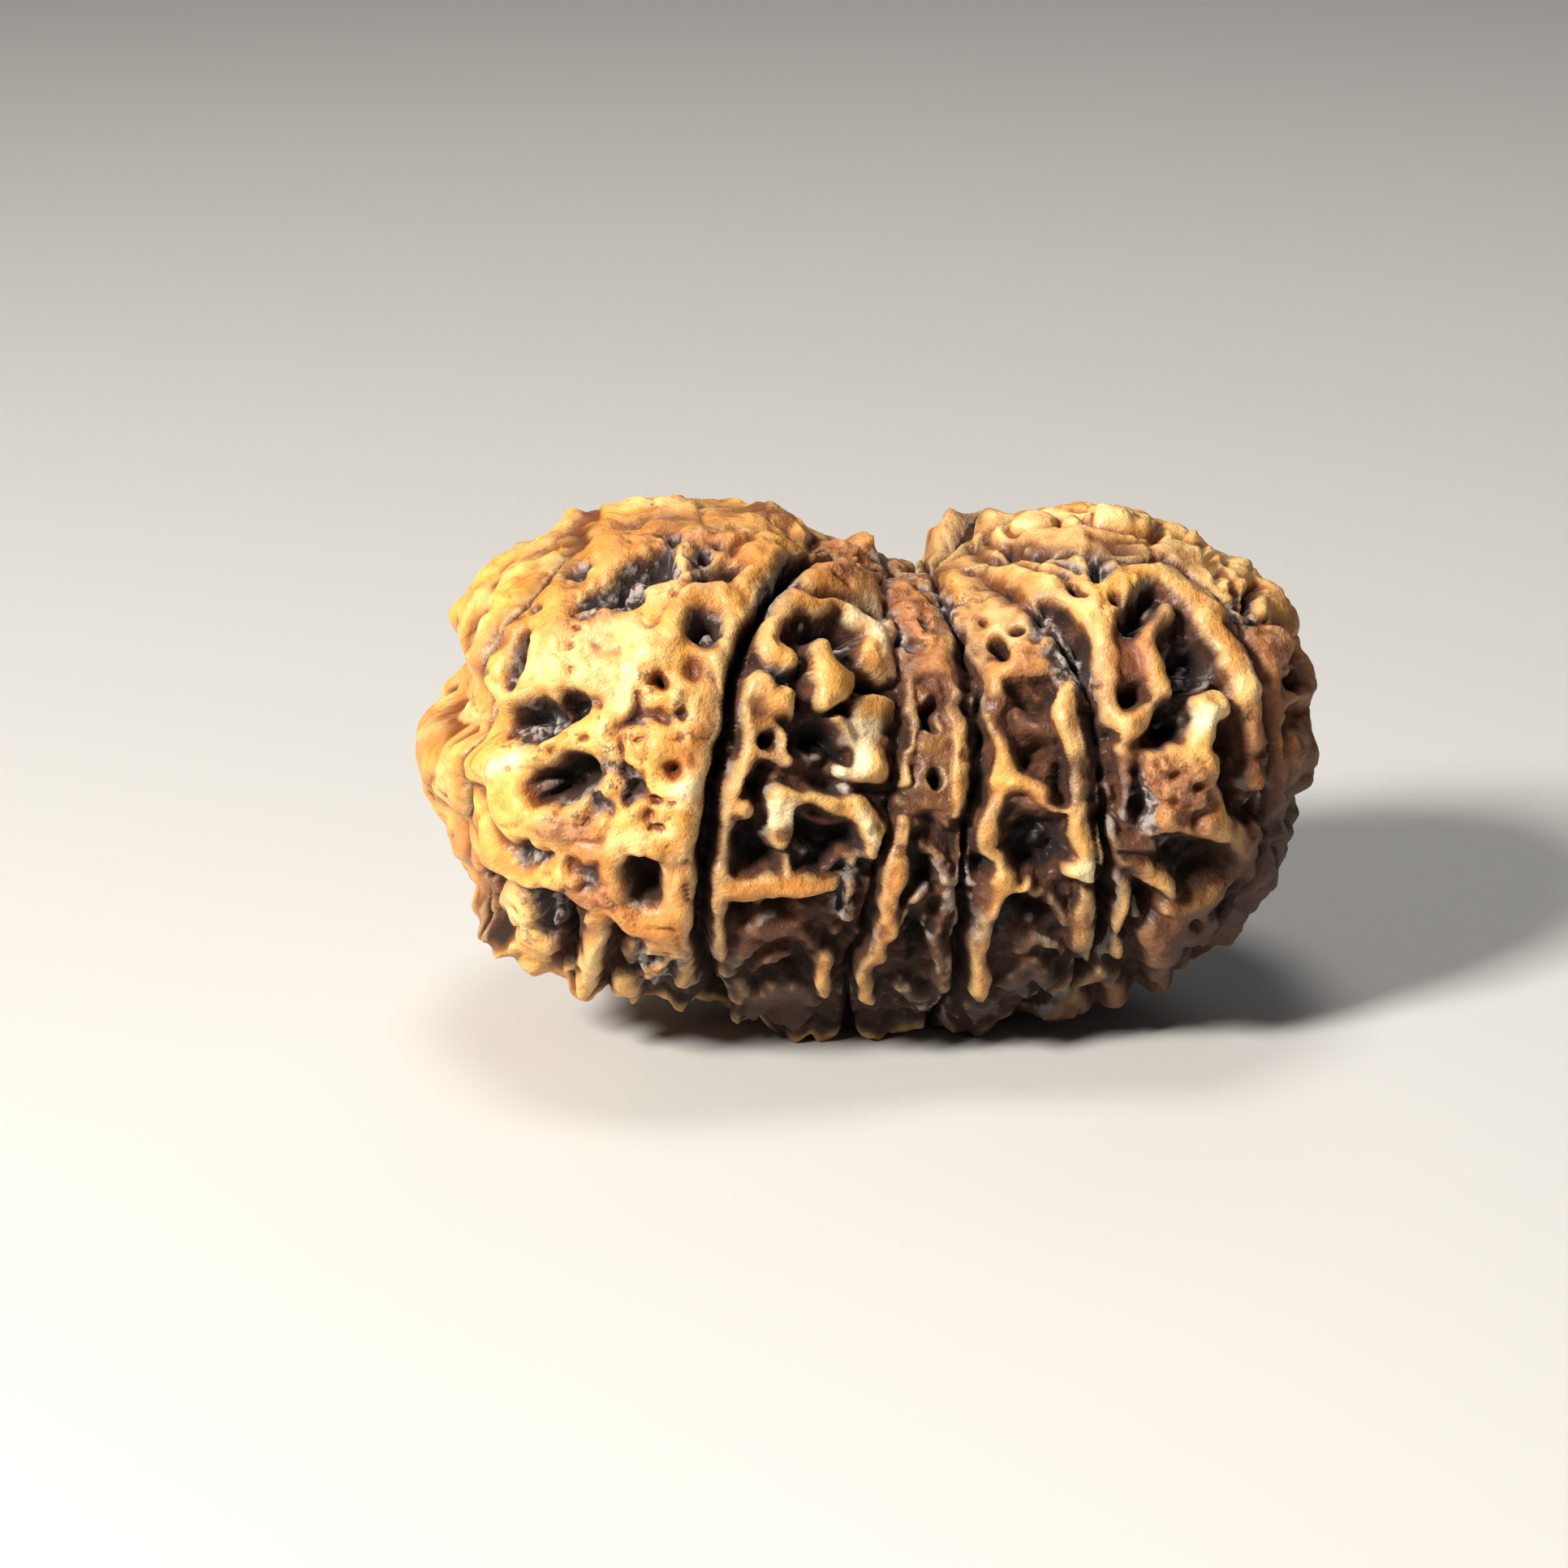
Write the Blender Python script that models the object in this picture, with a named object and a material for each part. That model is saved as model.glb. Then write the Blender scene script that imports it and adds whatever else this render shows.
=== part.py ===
"""Gauri shankar rudraksha: two fruit stones of one stalk, grown together into a single bead.

The bead is one piece. A smooth twin-lobed body gives its size, and all that is on it is relief,
raised from or sunk into that body by a formula: the furrows that run from the stalk end down to
the tip, the skin between them, and the bars, pegs, pits and creases of that skin.
All measures are in millimetres until the mesh is made.
"""

import bpy
import numpy as np

MM = 0.001
SEED = 11

# The body as it stands: X along the two lobes, Y away from the front, Z up
LEFT_LOBE = {"centre": (-6.6, 0.0, 10.9), "radii": (8.98, 9.7, 8.7), "lean": 0.11, "power": 2.3}
RIGHT_LOBE = {"centre": (7.95, 0.3, 10.4), "radii": (7.95, 9.3, 8.4), "lean": -0.22, "power": 2.3}
KEEL = {"centre": (1.4, -0.2, 8.65), "radii": (13.5, 8.8, 8.7), "lean": 0.0, "power": 2.0}
WAIST_BLEND = 1.2
KEEL_BLEND = 1.6
CORE = np.array([0.9, 0.0, 9.0])
BODY_REACH = 20.0

# The drawing plane: marks on the front are drawn on it in millimetres and fall on the body
TARGET = np.array([0.0, 0.0, 9.9])
EYE_DISTANCE = 160.0
EYE_TURN = np.radians(-8.0)
EYE_RISE = np.radians(18.0)
PLANE_FOOT = 9.42
DRAWN_FROM = -0.04
DRAWN_FULLY = 0.1

# Relief, measured out from the body
GROUND = -1.0
GROUND_WAVE = 0.25
GROUND_ROUGH = 0.16
HOLLOW_FLOOR = -1.75
HOLLOW_WAVE = 0.3
FURROW_FLOOR = -1.8
LOW_SKIN = -0.5
EDGE_REACH = 0.6
EDGE_DROP = 0.46
EDGE_WANDER = 0.14
EDGE_FRAY = 0.08
WALL_SLOPE = 3.6
FAR = 0.9
JOIN = 0.3
RIM_SAG = 0.3
RIM_REACH = 2.2
SWELL = 0.16
LUMPS = 0.17
BAR_SINK = 0.28
WOBBLE = 0.16
RAGGED = 0.4

# The net that covers what the drawing plane does not see
NET_CELLS = 380
NET_BAR = 0.34
FILLED_SHARE = 0.36
SHALLOW_SHARE = 0.4
RIM_BAR = 0.3
BACK_FURROWS = (-10.6, -6.0, -1.5, 3.1, 7.7, 12.0)

# Where the furrows meet, the flat spot that the bead rests on, and the mesh
STALK = np.array([1.4, 0.4])
TIP_HALF_LENGTH = 3.4
REST_CUT = 0.42
WORN_CENTRE = np.array([0.4, 0.1])
WORN_HALF = np.array([4.4, 2.3])
MESH_LEVELS = 7
MESH_STRETCH = np.array([1.28, 1.0, 1.0])
TRIANGLES = 11400

SHELL_COLOUR = (0.52, 0.27, 0.09, 1.0)
SHELL_ROUGHNESS = 0.5


def stroke(half_width, *points):
    """A bar or groove along a smooth path. A pair of half-widths makes it taper."""
    return ("stroke", half_width, points)


def oval(across, up, half_wide, half_high, tilt=0.0):
    return ("oval", (across, up), (half_wide, half_high), tilt)


def sheet(*outline):
    return ("sheet", outline)


# Furrows of the front, stalk end first: half-widths at both ends, then the way down
FURROWS = [
    ((0.14, 0.16), (-2.4, 17.9), (-5.2, 18.4), (-7.5, 18.7), (-9.0, 18.3), (-10.4, 17.6), (-11.7, 16.5),
     (-12.6, 15.3), (-13.7, 14.1), (-14.4, 12.8), (-14.7, 11.2), (-14.8, 9.5), (-14.7, 8.0), (-14.7, 6.3)),
    ((0.26, 0.42), (-1.7, 17.2), (-2.7, 16.7), (-3.9, 15.2), (-4.5, 13.4), (-4.85, 11.4), (-5.2, 9.4),
     (-5.55, 7.4), (-5.75, 5.2), (-5.85, 3.0), (-5.6, 1.0), (-5.4, 0.2)),
    ((0.03, 0.32), (0.7, 16.4), (1.1, 15.3), (1.4, 13.6), (1.5, 12.2), (1.5, 10.7), (1.25, 9.0), (1.0, 7.2),
     (0.6, 5.6), (0.25, 4.0), (0.0, 2.5), (-0.5, 1.5), (-0.7, 0.5)),
    ((0.03, 0.42), (1.9, 17.3), (2.6, 15.9), (3.2, 14.3), (3.9, 12.6), (4.0, 10.8), (4.15, 9.0), (3.9, 7.0),
     (3.8, 4.5), (3.75, 2.5), (3.4, 0.6)),
    ((0.03, 0.4), (3.3, 17.1), (4.6, 16.3), (5.9, 15.3), (6.9, 14.3), (7.9, 12.7), (8.35, 11.0),
     (8.65, 9.5), (8.75, 7.5), (8.9, 5.0), (8.8, 3.5), (8.6, 2.4)),
    ((0.12, 0.16), (9.0, 17.35), (10.8, 17.2), (12.1, 16.5), (13.5, 15.1), (14.3, 13.7), (14.8, 12.0),
     (15.1, 10.2), (15.0, 8.2), (14.8, 6.4), (14.2, 5.0), (13.0, 3.4)),
]

# Skin of the front that is nearly whole
PLATES = [
    sheet((-18.0, 6.4), (-15.6, 5.5), (-14.3, 5.4), (-13.0, 4.9), (-11.2, 4.6), (-10.2, 4.1), (-9.2, 3.7),
          (-8.0, 2.7), (-6.9, 1.9), (-5.6, 1.7), (-5.2, 8.0), (-4.6, 13.0), (-3.2, 16.4), (-1.9, 17.4),
          (-1.0, 21.0), (-18.0, 21.0)),
    sheet((-0.5, 19.2), (-2.2, 16.7), (-2.1, 16.3), (-1.2, 16.05), (-0.2, 15.75), (0.8, 15.5), (0.9, 16.4),
          (0.4, 19.2)),
    sheet((0.5, 18.8), (0.8, 16.2), (1.3, 12.9), (3.4, 12.6), (3.2, 14.4), (2.4, 16.4), (1.9, 18.8)),
    sheet((2.1, 17.2), (3.1, 14.8), (3.9, 13.0), (4.6, 12.6), (6.2, 13.1), (6.3, 14.2), (6.0, 15.2),
          (6.3, 15.6), (7.3, 15.4), (8.4, 14.2), (9.3, 14.8), (10.0, 16.4), (12.0, 16.0), (12.6, 17.4),
          (12.0, 21.0), (2.0, 21.0)),
    sheet((11.6, 16.9), (13.6, 14.9), (14.4, 13.2), (15.0, 11.0), (15.1, 9.0), (14.9, 7.0), (14.2, 5.2),
          (13.0, 3.1), (18.0, 2.0), (18.0, 21.0), (12.0, 21.0)),
    sheet((10.1, 10.1), (11.0, 9.9), (12.3, 10.5), (13.1, 9.8), (12.9, 8.3), (14.0, 6.8), (14.2, 6.2),
          (11.6, 6.7), (10.4, 6.5), (10.4, 7.2), (10.2, 8.6)),
]

# Bars, pegs and knobs of the front, up to the full height of the skin
RAISED = [
    # lower left: teeth, plate edge and blocks
    stroke(0.3, (-14.3, 4.9), (-13.9, 3.4)),
    stroke((0.6, 0.45), (-13.1, 4.4), (-12.5, 3.6), (-12.0, 2.4)),
    stroke(0.16, (-12.4, 1.9), (-11.5, 1.5), (-10.7, 1.6)),
    stroke(0.4, (-9.8, 3.4), (-9.95, 2.4), (-10.1, 1.3)),
    stroke(0.26, (-9.3, 3.9), (-8.4, 3.3), (-7.6, 2.6)),
    oval(-7.4, 1.9, 0.8, 0.75),
    oval(-6.5, 1.3, 0.5, 0.55),
    oval(-8.7, 1.0, 0.5, 0.4),
    # left segment of the middle: ring, tongue, blobs, pillar and crossbar
    stroke((0.4, 0.52), (-1.7, 16.0), (-2.5, 15.7), (-3.1, 15.1), (-3.4, 14.3), (-3.2, 13.7)),
    oval(-2.75, 13.4, 0.6, 0.45, -20.0),
    stroke((0.3, 0.6), (-1.7, 15.7), (-0.7, 15.4), (0.1, 15.0), (0.6, 14.4), (0.75, 13.8), (0.7, 13.2)),
    stroke((0.4, 0.68), (-1.35, 13.9), (-1.3, 13.2), (-1.0, 12.5)),
    stroke(0.42, (-1.0, 12.5), (-1.3, 11.8)),
    stroke(0.4, (-0.8, 12.7), (-0.2, 12.6)),
    oval(-3.7, 12.3, 0.6, 0.7),
    oval(-3.0, 11.7, 0.7, 0.55, -15.0),
    stroke(0.32, (-3.9, 12.4), (-4.15, 11.3), (-4.1, 10.5), (-4.2, 9.8), (-4.5, 9.0), (-4.85, 7.9),
           (-5.0, 6.5), (-5.15, 5.0), (-5.25, 3.5), (-5.35, 2.2)),
    oval(-3.45, 10.35, 0.75, 0.78),
    stroke(0.26, (-3.2, 9.8), (-2.7, 9.6)),
    oval(-4.45, 7.7, 0.42, 0.5),
    stroke((0.36, 0.42), (-2.9, 8.1), (-2.95, 7.3), (-2.9, 6.6)),
    stroke(0.32, (-2.8, 8.2), (-1.8, 8.2), (-0.8, 7.95)),
    stroke(0.16, (-0.8, 11.1), (-0.3, 10.7), (0.0, 10.3)),
    stroke((0.72, 0.6), (0.5, 11.6), (0.6, 10.6), (0.6, 9.4)),
    stroke((0.3, 0.2), (0.5, 9.1), (-0.1, 8.95), (-0.7, 9.1)),
    stroke((0.52, 0.34), (-0.2, 7.9), (0.25, 7.2), (0.5, 6.3)),
    stroke((0.46, 0.3), (-5.0, 4.6), (-4.0, 4.65), (-3.0, 4.85), (-2.0, 4.8), (-0.9, 4.9)),
    stroke(0.14, (-2.6, 5.1), (-2.6, 5.9)),
    stroke(0.28, (-0.4, 4.8), (-0.5, 3.6)),
    stroke(0.3, (-1.4, 1.7), (-1.45, 1.1), (-1.55, 0.5)),
    oval(-4.6, 0.8, 0.45, 0.5),
    # neck: two rims, the wavy ridge and the arc beside it
    stroke(0.2, (1.95, 13.0), (1.75, 12.0), (1.85, 11.0), (1.7, 10.0), (1.6, 8.9)),
    stroke((0.34, 0.22), (3.2, 12.9), (3.3, 11.6), (3.45, 10.0), (3.5, 9.0), (3.4, 7.7)),
    stroke(0.28, (1.4, 7.2), (1.35, 6.3), (1.1, 5.2), (0.75, 4.2), (0.85, 3.2), (0.6, 2.2), (0.1, 1.5),
           (0.15, 0.7)),
    # right segment by the neck: arch, both rims and crossings
    stroke(0.42, (4.5, 13.0), (5.3, 13.3), (6.2, 13.4), (6.8, 14.0)),
    stroke((0.36, 0.3), (4.5, 12.9), (4.55, 12.0), (4.6, 10.9), (4.95, 9.6), (5.0, 8.8), (4.6, 7.6),
           (4.65, 6.3), (5.1, 5.0), (4.7, 4.0), (4.4, 3.0), (4.35, 1.8), (4.2, 0.9)),
    stroke((0.4, 0.36), (6.6, 13.7), (7.2, 12.6), (7.15, 11.3), (7.6, 10.1), (8.0, 9.0), (7.75, 8.1),
           (7.85, 6.8), (8.15, 6.0), (8.2, 5.2), (8.15, 3.9), (7.95, 2.6)),
    oval(7.75, 5.4, 0.45, 0.42),
    stroke((0.5, 0.34), (5.1, 8.8), (5.7, 8.7), (6.4, 8.4)),
    stroke(0.2, (6.4, 8.1), (7.1, 7.7), (7.7, 7.9)),
    stroke(0.22, (5.1, 4.9), (5.6, 4.75), (6.1, 4.9)),
    stroke(0.3, (8.3, 2.2), (8.4, 1.4), (7.6, 0.8), (7.1, 0.3)),
    # right segment: hooked band, finger, rims and knobs
    stroke((0.4, 0.5), (4.6, 16.8), (5.9, 16.5), (7.2, 15.8), (8.2, 14.9), (8.6, 13.7), (8.75, 12.5),
           (9.1, 11.3), (9.6, 10.8)),
    stroke(0.4, (9.5, 10.9), (10.3, 11.3)),
    stroke((0.46, 0.42), (10.95, 15.2), (10.6, 14.8), (10.2, 14.1), (10.45, 13.2), (10.95, 12.0)),
    stroke((0.44, 0.56), (9.9, 17.0), (11.2, 16.6), (12.3, 15.7), (13.2, 14.5), (13.8, 13.4),
           (14.0, 12.4)),
    stroke((0.6, 0.45), (12.7, 11.8), (12.9, 11.3), (12.3, 10.6)),
    stroke(0.4, (14.3, 11.6), (14.5, 10.3), (14.6, 9.4), (14.6, 8.9)),
    stroke(0.38, (13.0, 8.4), (13.4, 7.4), (14.1, 6.7), (14.5, 7.1)),
    stroke((0.42, 0.16), (9.5, 9.9), (9.4, 9.1), (9.6, 8.3), (9.6, 7.6)),
    stroke(0.3, (9.5, 5.8), (10.2, 5.5), (11.2, 4.8)),
    stroke(0.26, (9.5, 5.2), (9.6, 4.2), (9.4, 3.2), (9.2, 2.5)),
    stroke(0.36, (14.1, 6.4), (13.7, 5.4), (12.9, 4.7), (11.8, 4.1), (11.2, 3.9)),
    oval(12.1, 3.4, 0.9, 0.65),
    stroke((0.75, 0.4), (10.8, 2.8), (10.8, 1.5)),
    oval(9.1, 1.1, 0.45, 0.45),
]

# Strands, lumps and lower skin between the bars
SUNKEN = [
    stroke(0.4, (-5.0, 1.4), (-4.3, 2.4), (-3.4, 3.0), (-2.4, 2.9), (-1.8, 2.2)),
    stroke(0.2, (-4.2, 1.1), (-3.4, 1.9), (-2.6, 1.9)),
    oval(-3.0, 0.3, 1.5, 0.75),
    stroke(0.16, (-1.3, 5.3), (-0.8, 5.8), (-0.2, 6.0), (0.4, 6.0)),
    stroke(0.14, (-0.6, 5.9), (-0.1, 5.4)),
    oval(-0.9, 2.8, 0.25, 0.25),
    oval(-0.3, 8.5, 0.45, 0.35),
    oval(0.3, 2.3, 0.4, 0.5),
    stroke(0.22, (1.2, 3.2), (1.4, 3.8), (1.7, 4.2), (2.2, 4.6)),
    stroke(0.3, (2.1, 6.5), (2.8, 5.9), (3.2, 5.0), (3.1, 3.8), (2.7, 2.6)),
    stroke(0.38, (2.7, 2.4), (3.1, 1.5), (2.8, 0.8)),
    stroke(0.3, (1.3, 0.9), (2.2, 0.3)),
    oval(1.9, 8.0, 0.9, 0.5),
    stroke(0.2, (3.9, 7.0), (3.75, 6.0), (3.7, 5.0), (3.8, 4.7)),
    stroke(0.45, (5.3, 11.2), (5.9, 10.9), (6.6, 10.7)),
    stroke(0.4, (5.4, 8.2), (6.0, 7.9)),
    stroke(0.32, (6.1, 4.7), (6.8, 4.3), (7.3, 3.6), (7.8, 3.0)),
    stroke(0.3, (5.8, 2.3), (6.4, 2.6), (7.2, 2.4), (7.9, 2.5)),
    stroke(0.4, (6.2, 1.7), (6.8, 1.2)),
    oval(4.4, 0.2, 0.8, 0.6),
    oval(5.6, 1.0, 0.7, 0.5),
    oval(9.0, 6.4, 0.6, 0.9),
    oval(10.1, 3.55, 0.3, 0.3),
    oval(-10.0, 7.7, 0.6, 0.45, 30.0),
    oval(-5.75, 14.4, 0.3, 0.28),
    oval(-13.0, 10.5, 0.75, 0.45, 15.0),
    oval(-11.5, 10.75, 0.45, 0.3, 20.0),
    stroke(0.3, (-12.0, 9.9), (-11.1, 10.15), (-10.0, 10.4)),
    oval(-10.2, 15.3, 0.6, 0.35, 25.0),
    oval(-8.3, 16.1, 0.6, 0.4, 25.0),
    oval(-12.4, 8.4, 0.5, 0.35, 20.0),
    oval(-8.3, 2.2, 0.7, 0.5),
    sheet((1.6, 13.4), (3.4, 13.4), (3.7, 8.0), (3.3, 7.0), (1.5, 8.4)),
    oval(9.5, 13.6, 0.85, 1.3, 10.0),
    oval(9.7, 10.3, 0.5, 0.7),
    oval(9.9, 6.2, 0.9, 0.7),
    oval(12.4, 12.6, 0.5, 0.4),
    oval(13.4, 9.3, 0.22, 0.8),
]

# Dark hollows between the bars of the front, where the ground drops away
HOLLOWS = [
    oval(-10.95, 2.9, 0.4, 1.0),
    oval(-8.9, 2.3, 0.35, 0.8),
    oval(-12.6, 4.9, 1.4, 0.3, -15.0),
    oval(-0.8, 14.5, 1.0, 0.5, -15.0),
    stroke(0.28, (-3.1, 12.8), (-2.1, 12.5)),
    stroke((0.3, 0.6), (-3.8, 9.4), (-3.8, 8.4), (-3.8, 7.2)),
    oval(-3.5, 6.0, 0.9, 0.7),
    oval(-1.2, 10.2, 0.85, 0.9),
    oval(-1.2, 6.7, 1.1, 0.85),
    oval(-3.6, 3.6, 1.2, 0.5),
    oval(-2.9, 1.6, 0.9, 0.45),
    oval(2.45, 11.5, 0.45, 0.8),
    oval(2.4, 9.15, 0.45, 0.65),
    oval(2.2, 5.4, 0.45, 0.7),
    oval(1.8, 2.6, 0.5, 0.8),
    oval(5.4, 12.2, 0.45, 0.5),
    oval(5.9, 9.8, 0.5, 0.4),
    oval(7.0, 9.0, 0.4, 0.5),
    oval(6.3, 6.4, 1.25, 1.2),
    oval(6.0, 3.7, 0.9, 0.6),
    oval(7.4, 1.9, 0.3, 0.4),
    oval(12.0, 13.3, 0.95, 1.0),
    oval(11.2, 11.1, 0.75, 0.75),
    stroke(0.34, (13.5, 10.9), (13.7, 9.8), (13.5, 8.8), (14.0, 7.9)),
    oval(12.5, 5.7, 1.3, 0.75),
    oval(10.2, 7.7, 0.4, 0.42),
    oval(10.6, 4.0, 0.6, 0.5),
    oval(9.8, 12.3, 0.5, 0.5),
]

# Pits and slots through the skin of the front
PITS = [
    stroke((0.36, 0.66), (-10.5, 15.2), (-9.5, 15.9), (-8.3, 16.5), (-7.5, 16.8)),
    oval(-8.8, 15.6, 0.6, 0.4),
    stroke(0.24, (-12.5, 14.1), (-12.9, 13.2), (-13.1, 12.4)),
    oval(-12.1, 15.2, 0.32, 0.18),
    oval(-10.5, 16.6, 0.45, 0.24, 30.0),
    oval(-7.0, 17.9, 0.24, 0.2),
    oval(-5.9, 17.3, 0.3, 0.22),
    oval(-5.3, 17.7, 0.16, 0.14),
    stroke(0.2, (-6.0, 16.5), (-4.6, 16.8)),
    oval(-5.85, 14.65, 0.76, 0.64),
    oval(-7.4, 12.6, 0.16, 0.28, 20.0),
    oval(-12.45, 10.95, 1.35, 0.85, 10.0),
    oval(-10.75, 11.4, 0.62, 0.8, -20.0),
    oval(-11.15, 8.75, 1.5, 0.9, 20.0),
    oval(-12.3, 6.0, 0.52, 0.34, -25.0),
    oval(-8.05, 4.95, 1.15, 0.76, -55.0),
    oval(-7.6, 1.9, 0.26, 0.22),
    oval(-6.9, 1.5, 0.16, 0.18),
    oval(-0.75, 14.6, 1.1, 0.55, -15.0),
    stroke(0.14, (-1.95, 13.6), (-2.0, 12.9)),
    oval(-0.4, 13.4, 0.16, 0.14),
    oval(-2.1, 12.1, 0.16, 0.5),
    stroke(0.24, (0.2, 12.6), (0.9, 12.6)),
    oval(-3.45, 10.35, 0.4, 0.38),
    oval(4.1, 14.9, 0.26, 0.24),
    oval(4.7, 13.9, 0.32, 0.4),
    oval(5.4, 14.5, 0.16, 0.14),
    oval(9.8, 12.3, 0.6, 0.56),
    stroke((0.26, 0.3), (10.4, 16.1), (9.9, 15.5), (9.6, 14.7)),
    oval(9.05, 15.7, 0.18, 0.16),
    oval(8.4, 16.95, 0.24, 0.4),
    oval(7.5, 16.05, 0.5, 0.28, -30.0),
    oval(12.0, 13.3, 1.0, 1.1),
    oval(11.2, 11.1, 0.8, 0.8),
    stroke(0.42, (13.5, 10.9), (13.7, 9.8), (13.5, 8.8), (14.0, 7.9)),
    oval(12.5, 5.7, 1.35, 0.85),
    oval(10.1, 7.7, 0.5, 0.5),
    oval(14.0, 15.6, 0.26, 0.5),
    oval(15.7, 12.6, 0.28, 0.4),
    oval(12.1, 3.6, 0.24, 0.2),
]

# Shallow lines in the skin of the front
CREASES = [
    stroke(0.12, (-6.0, 18.95), (-4.8, 18.9), (-3.8, 18.8), (-2.6, 18.3)),
    stroke(0.13, (-9.8, 18.6), (-11.6, 17.45), (-12.9, 16.7), (-13.6, 15.8), (-14.2, 14.9), (-14.8, 13.6)),
    stroke(0.12, (-15.4, 10.9), (-15.5, 9.5), (-15.4, 7.5)),
    stroke(0.12, (-14.4, 8.6), (-13.9, 8.0), (-13.4, 7.0), (-13.0, 6.3)),
    stroke(0.1, (-12.0, 14.4), (-12.7, 13.7)),
    stroke(0.12, (-4.8, 17.6), (-4.1, 17.9)),
    stroke(0.12, (-6.9, 15.6), (-6.4, 16.2), (-5.9, 16.5)),
    stroke(0.16, (-9.2, 10.5), (-8.7, 10.8), (-8.2, 11.4), (-7.1, 11.1)),
    stroke(0.12, (-8.9, 10.2), (-8.6, 9.0), (-7.9, 8.2), (-7.0, 8.0)),
    stroke(0.14, (-2.2, 16.1), (-1.1, 15.85), (-0.1, 15.5), (0.7, 15.2)),
    stroke(0.12, (3.3, 14.6), (3.5, 13.4), (3.7, 12.6)),
    stroke(0.14, (3.6, 17.7), (5.0, 17.2), (6.0, 16.9), (7.0, 16.5)),
    stroke(0.14, (4.2, 17.9), (7.0, 17.6), (8.0, 17.45)),
    stroke(0.14, (8.1, 17.95), (9.3, 17.75), (10.3, 17.85), (10.7, 18.3)),
    stroke(0.14, (13.0, 17.2), (13.2, 16.5), (13.4, 15.9), (13.7, 15.3)),
    stroke(0.14, (14.1, 14.9), (15.0, 14.6), (15.4, 14.1), (15.4, 13.2)),
    stroke(0.12, (14.6, 16.0), (14.8, 15.2), (15.2, 14.8)),
    stroke(0.12, (7.9, 4.7), (8.5, 4.75)),
    stroke(0.12, (15.7, 11.6), (15.5, 10.0), (15.6, 8.4)),
    stroke(0.12, (14.7, 7.6), (15.3, 6.4), (14.9, 5.2), (14.0, 4.2)),
    stroke(0.12, (5.0, 17.75), (6.6, 17.15), (7.6, 16.7)),
    stroke(0.12, (13.1, 14.9), (13.9, 14.2), (14.5, 13.0), (14.9, 11.6)),
    stroke(0.12, (14.0, 17.0), (14.5, 16.4), (14.7, 15.9)),
    stroke(0.12, (15.9, 14.2), (15.6, 13.2), (16.0, 12.2)),
    stroke(0.12, (-15.9, 12.2), (-15.6, 10.8), (-15.8, 9.2), (-15.3, 7.4)),
    stroke(0.12, (-14.5, 15.9), (-15.0, 14.6), (-15.2, 13.4)),
]
CREASE_DEPTH = 0.34

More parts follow.
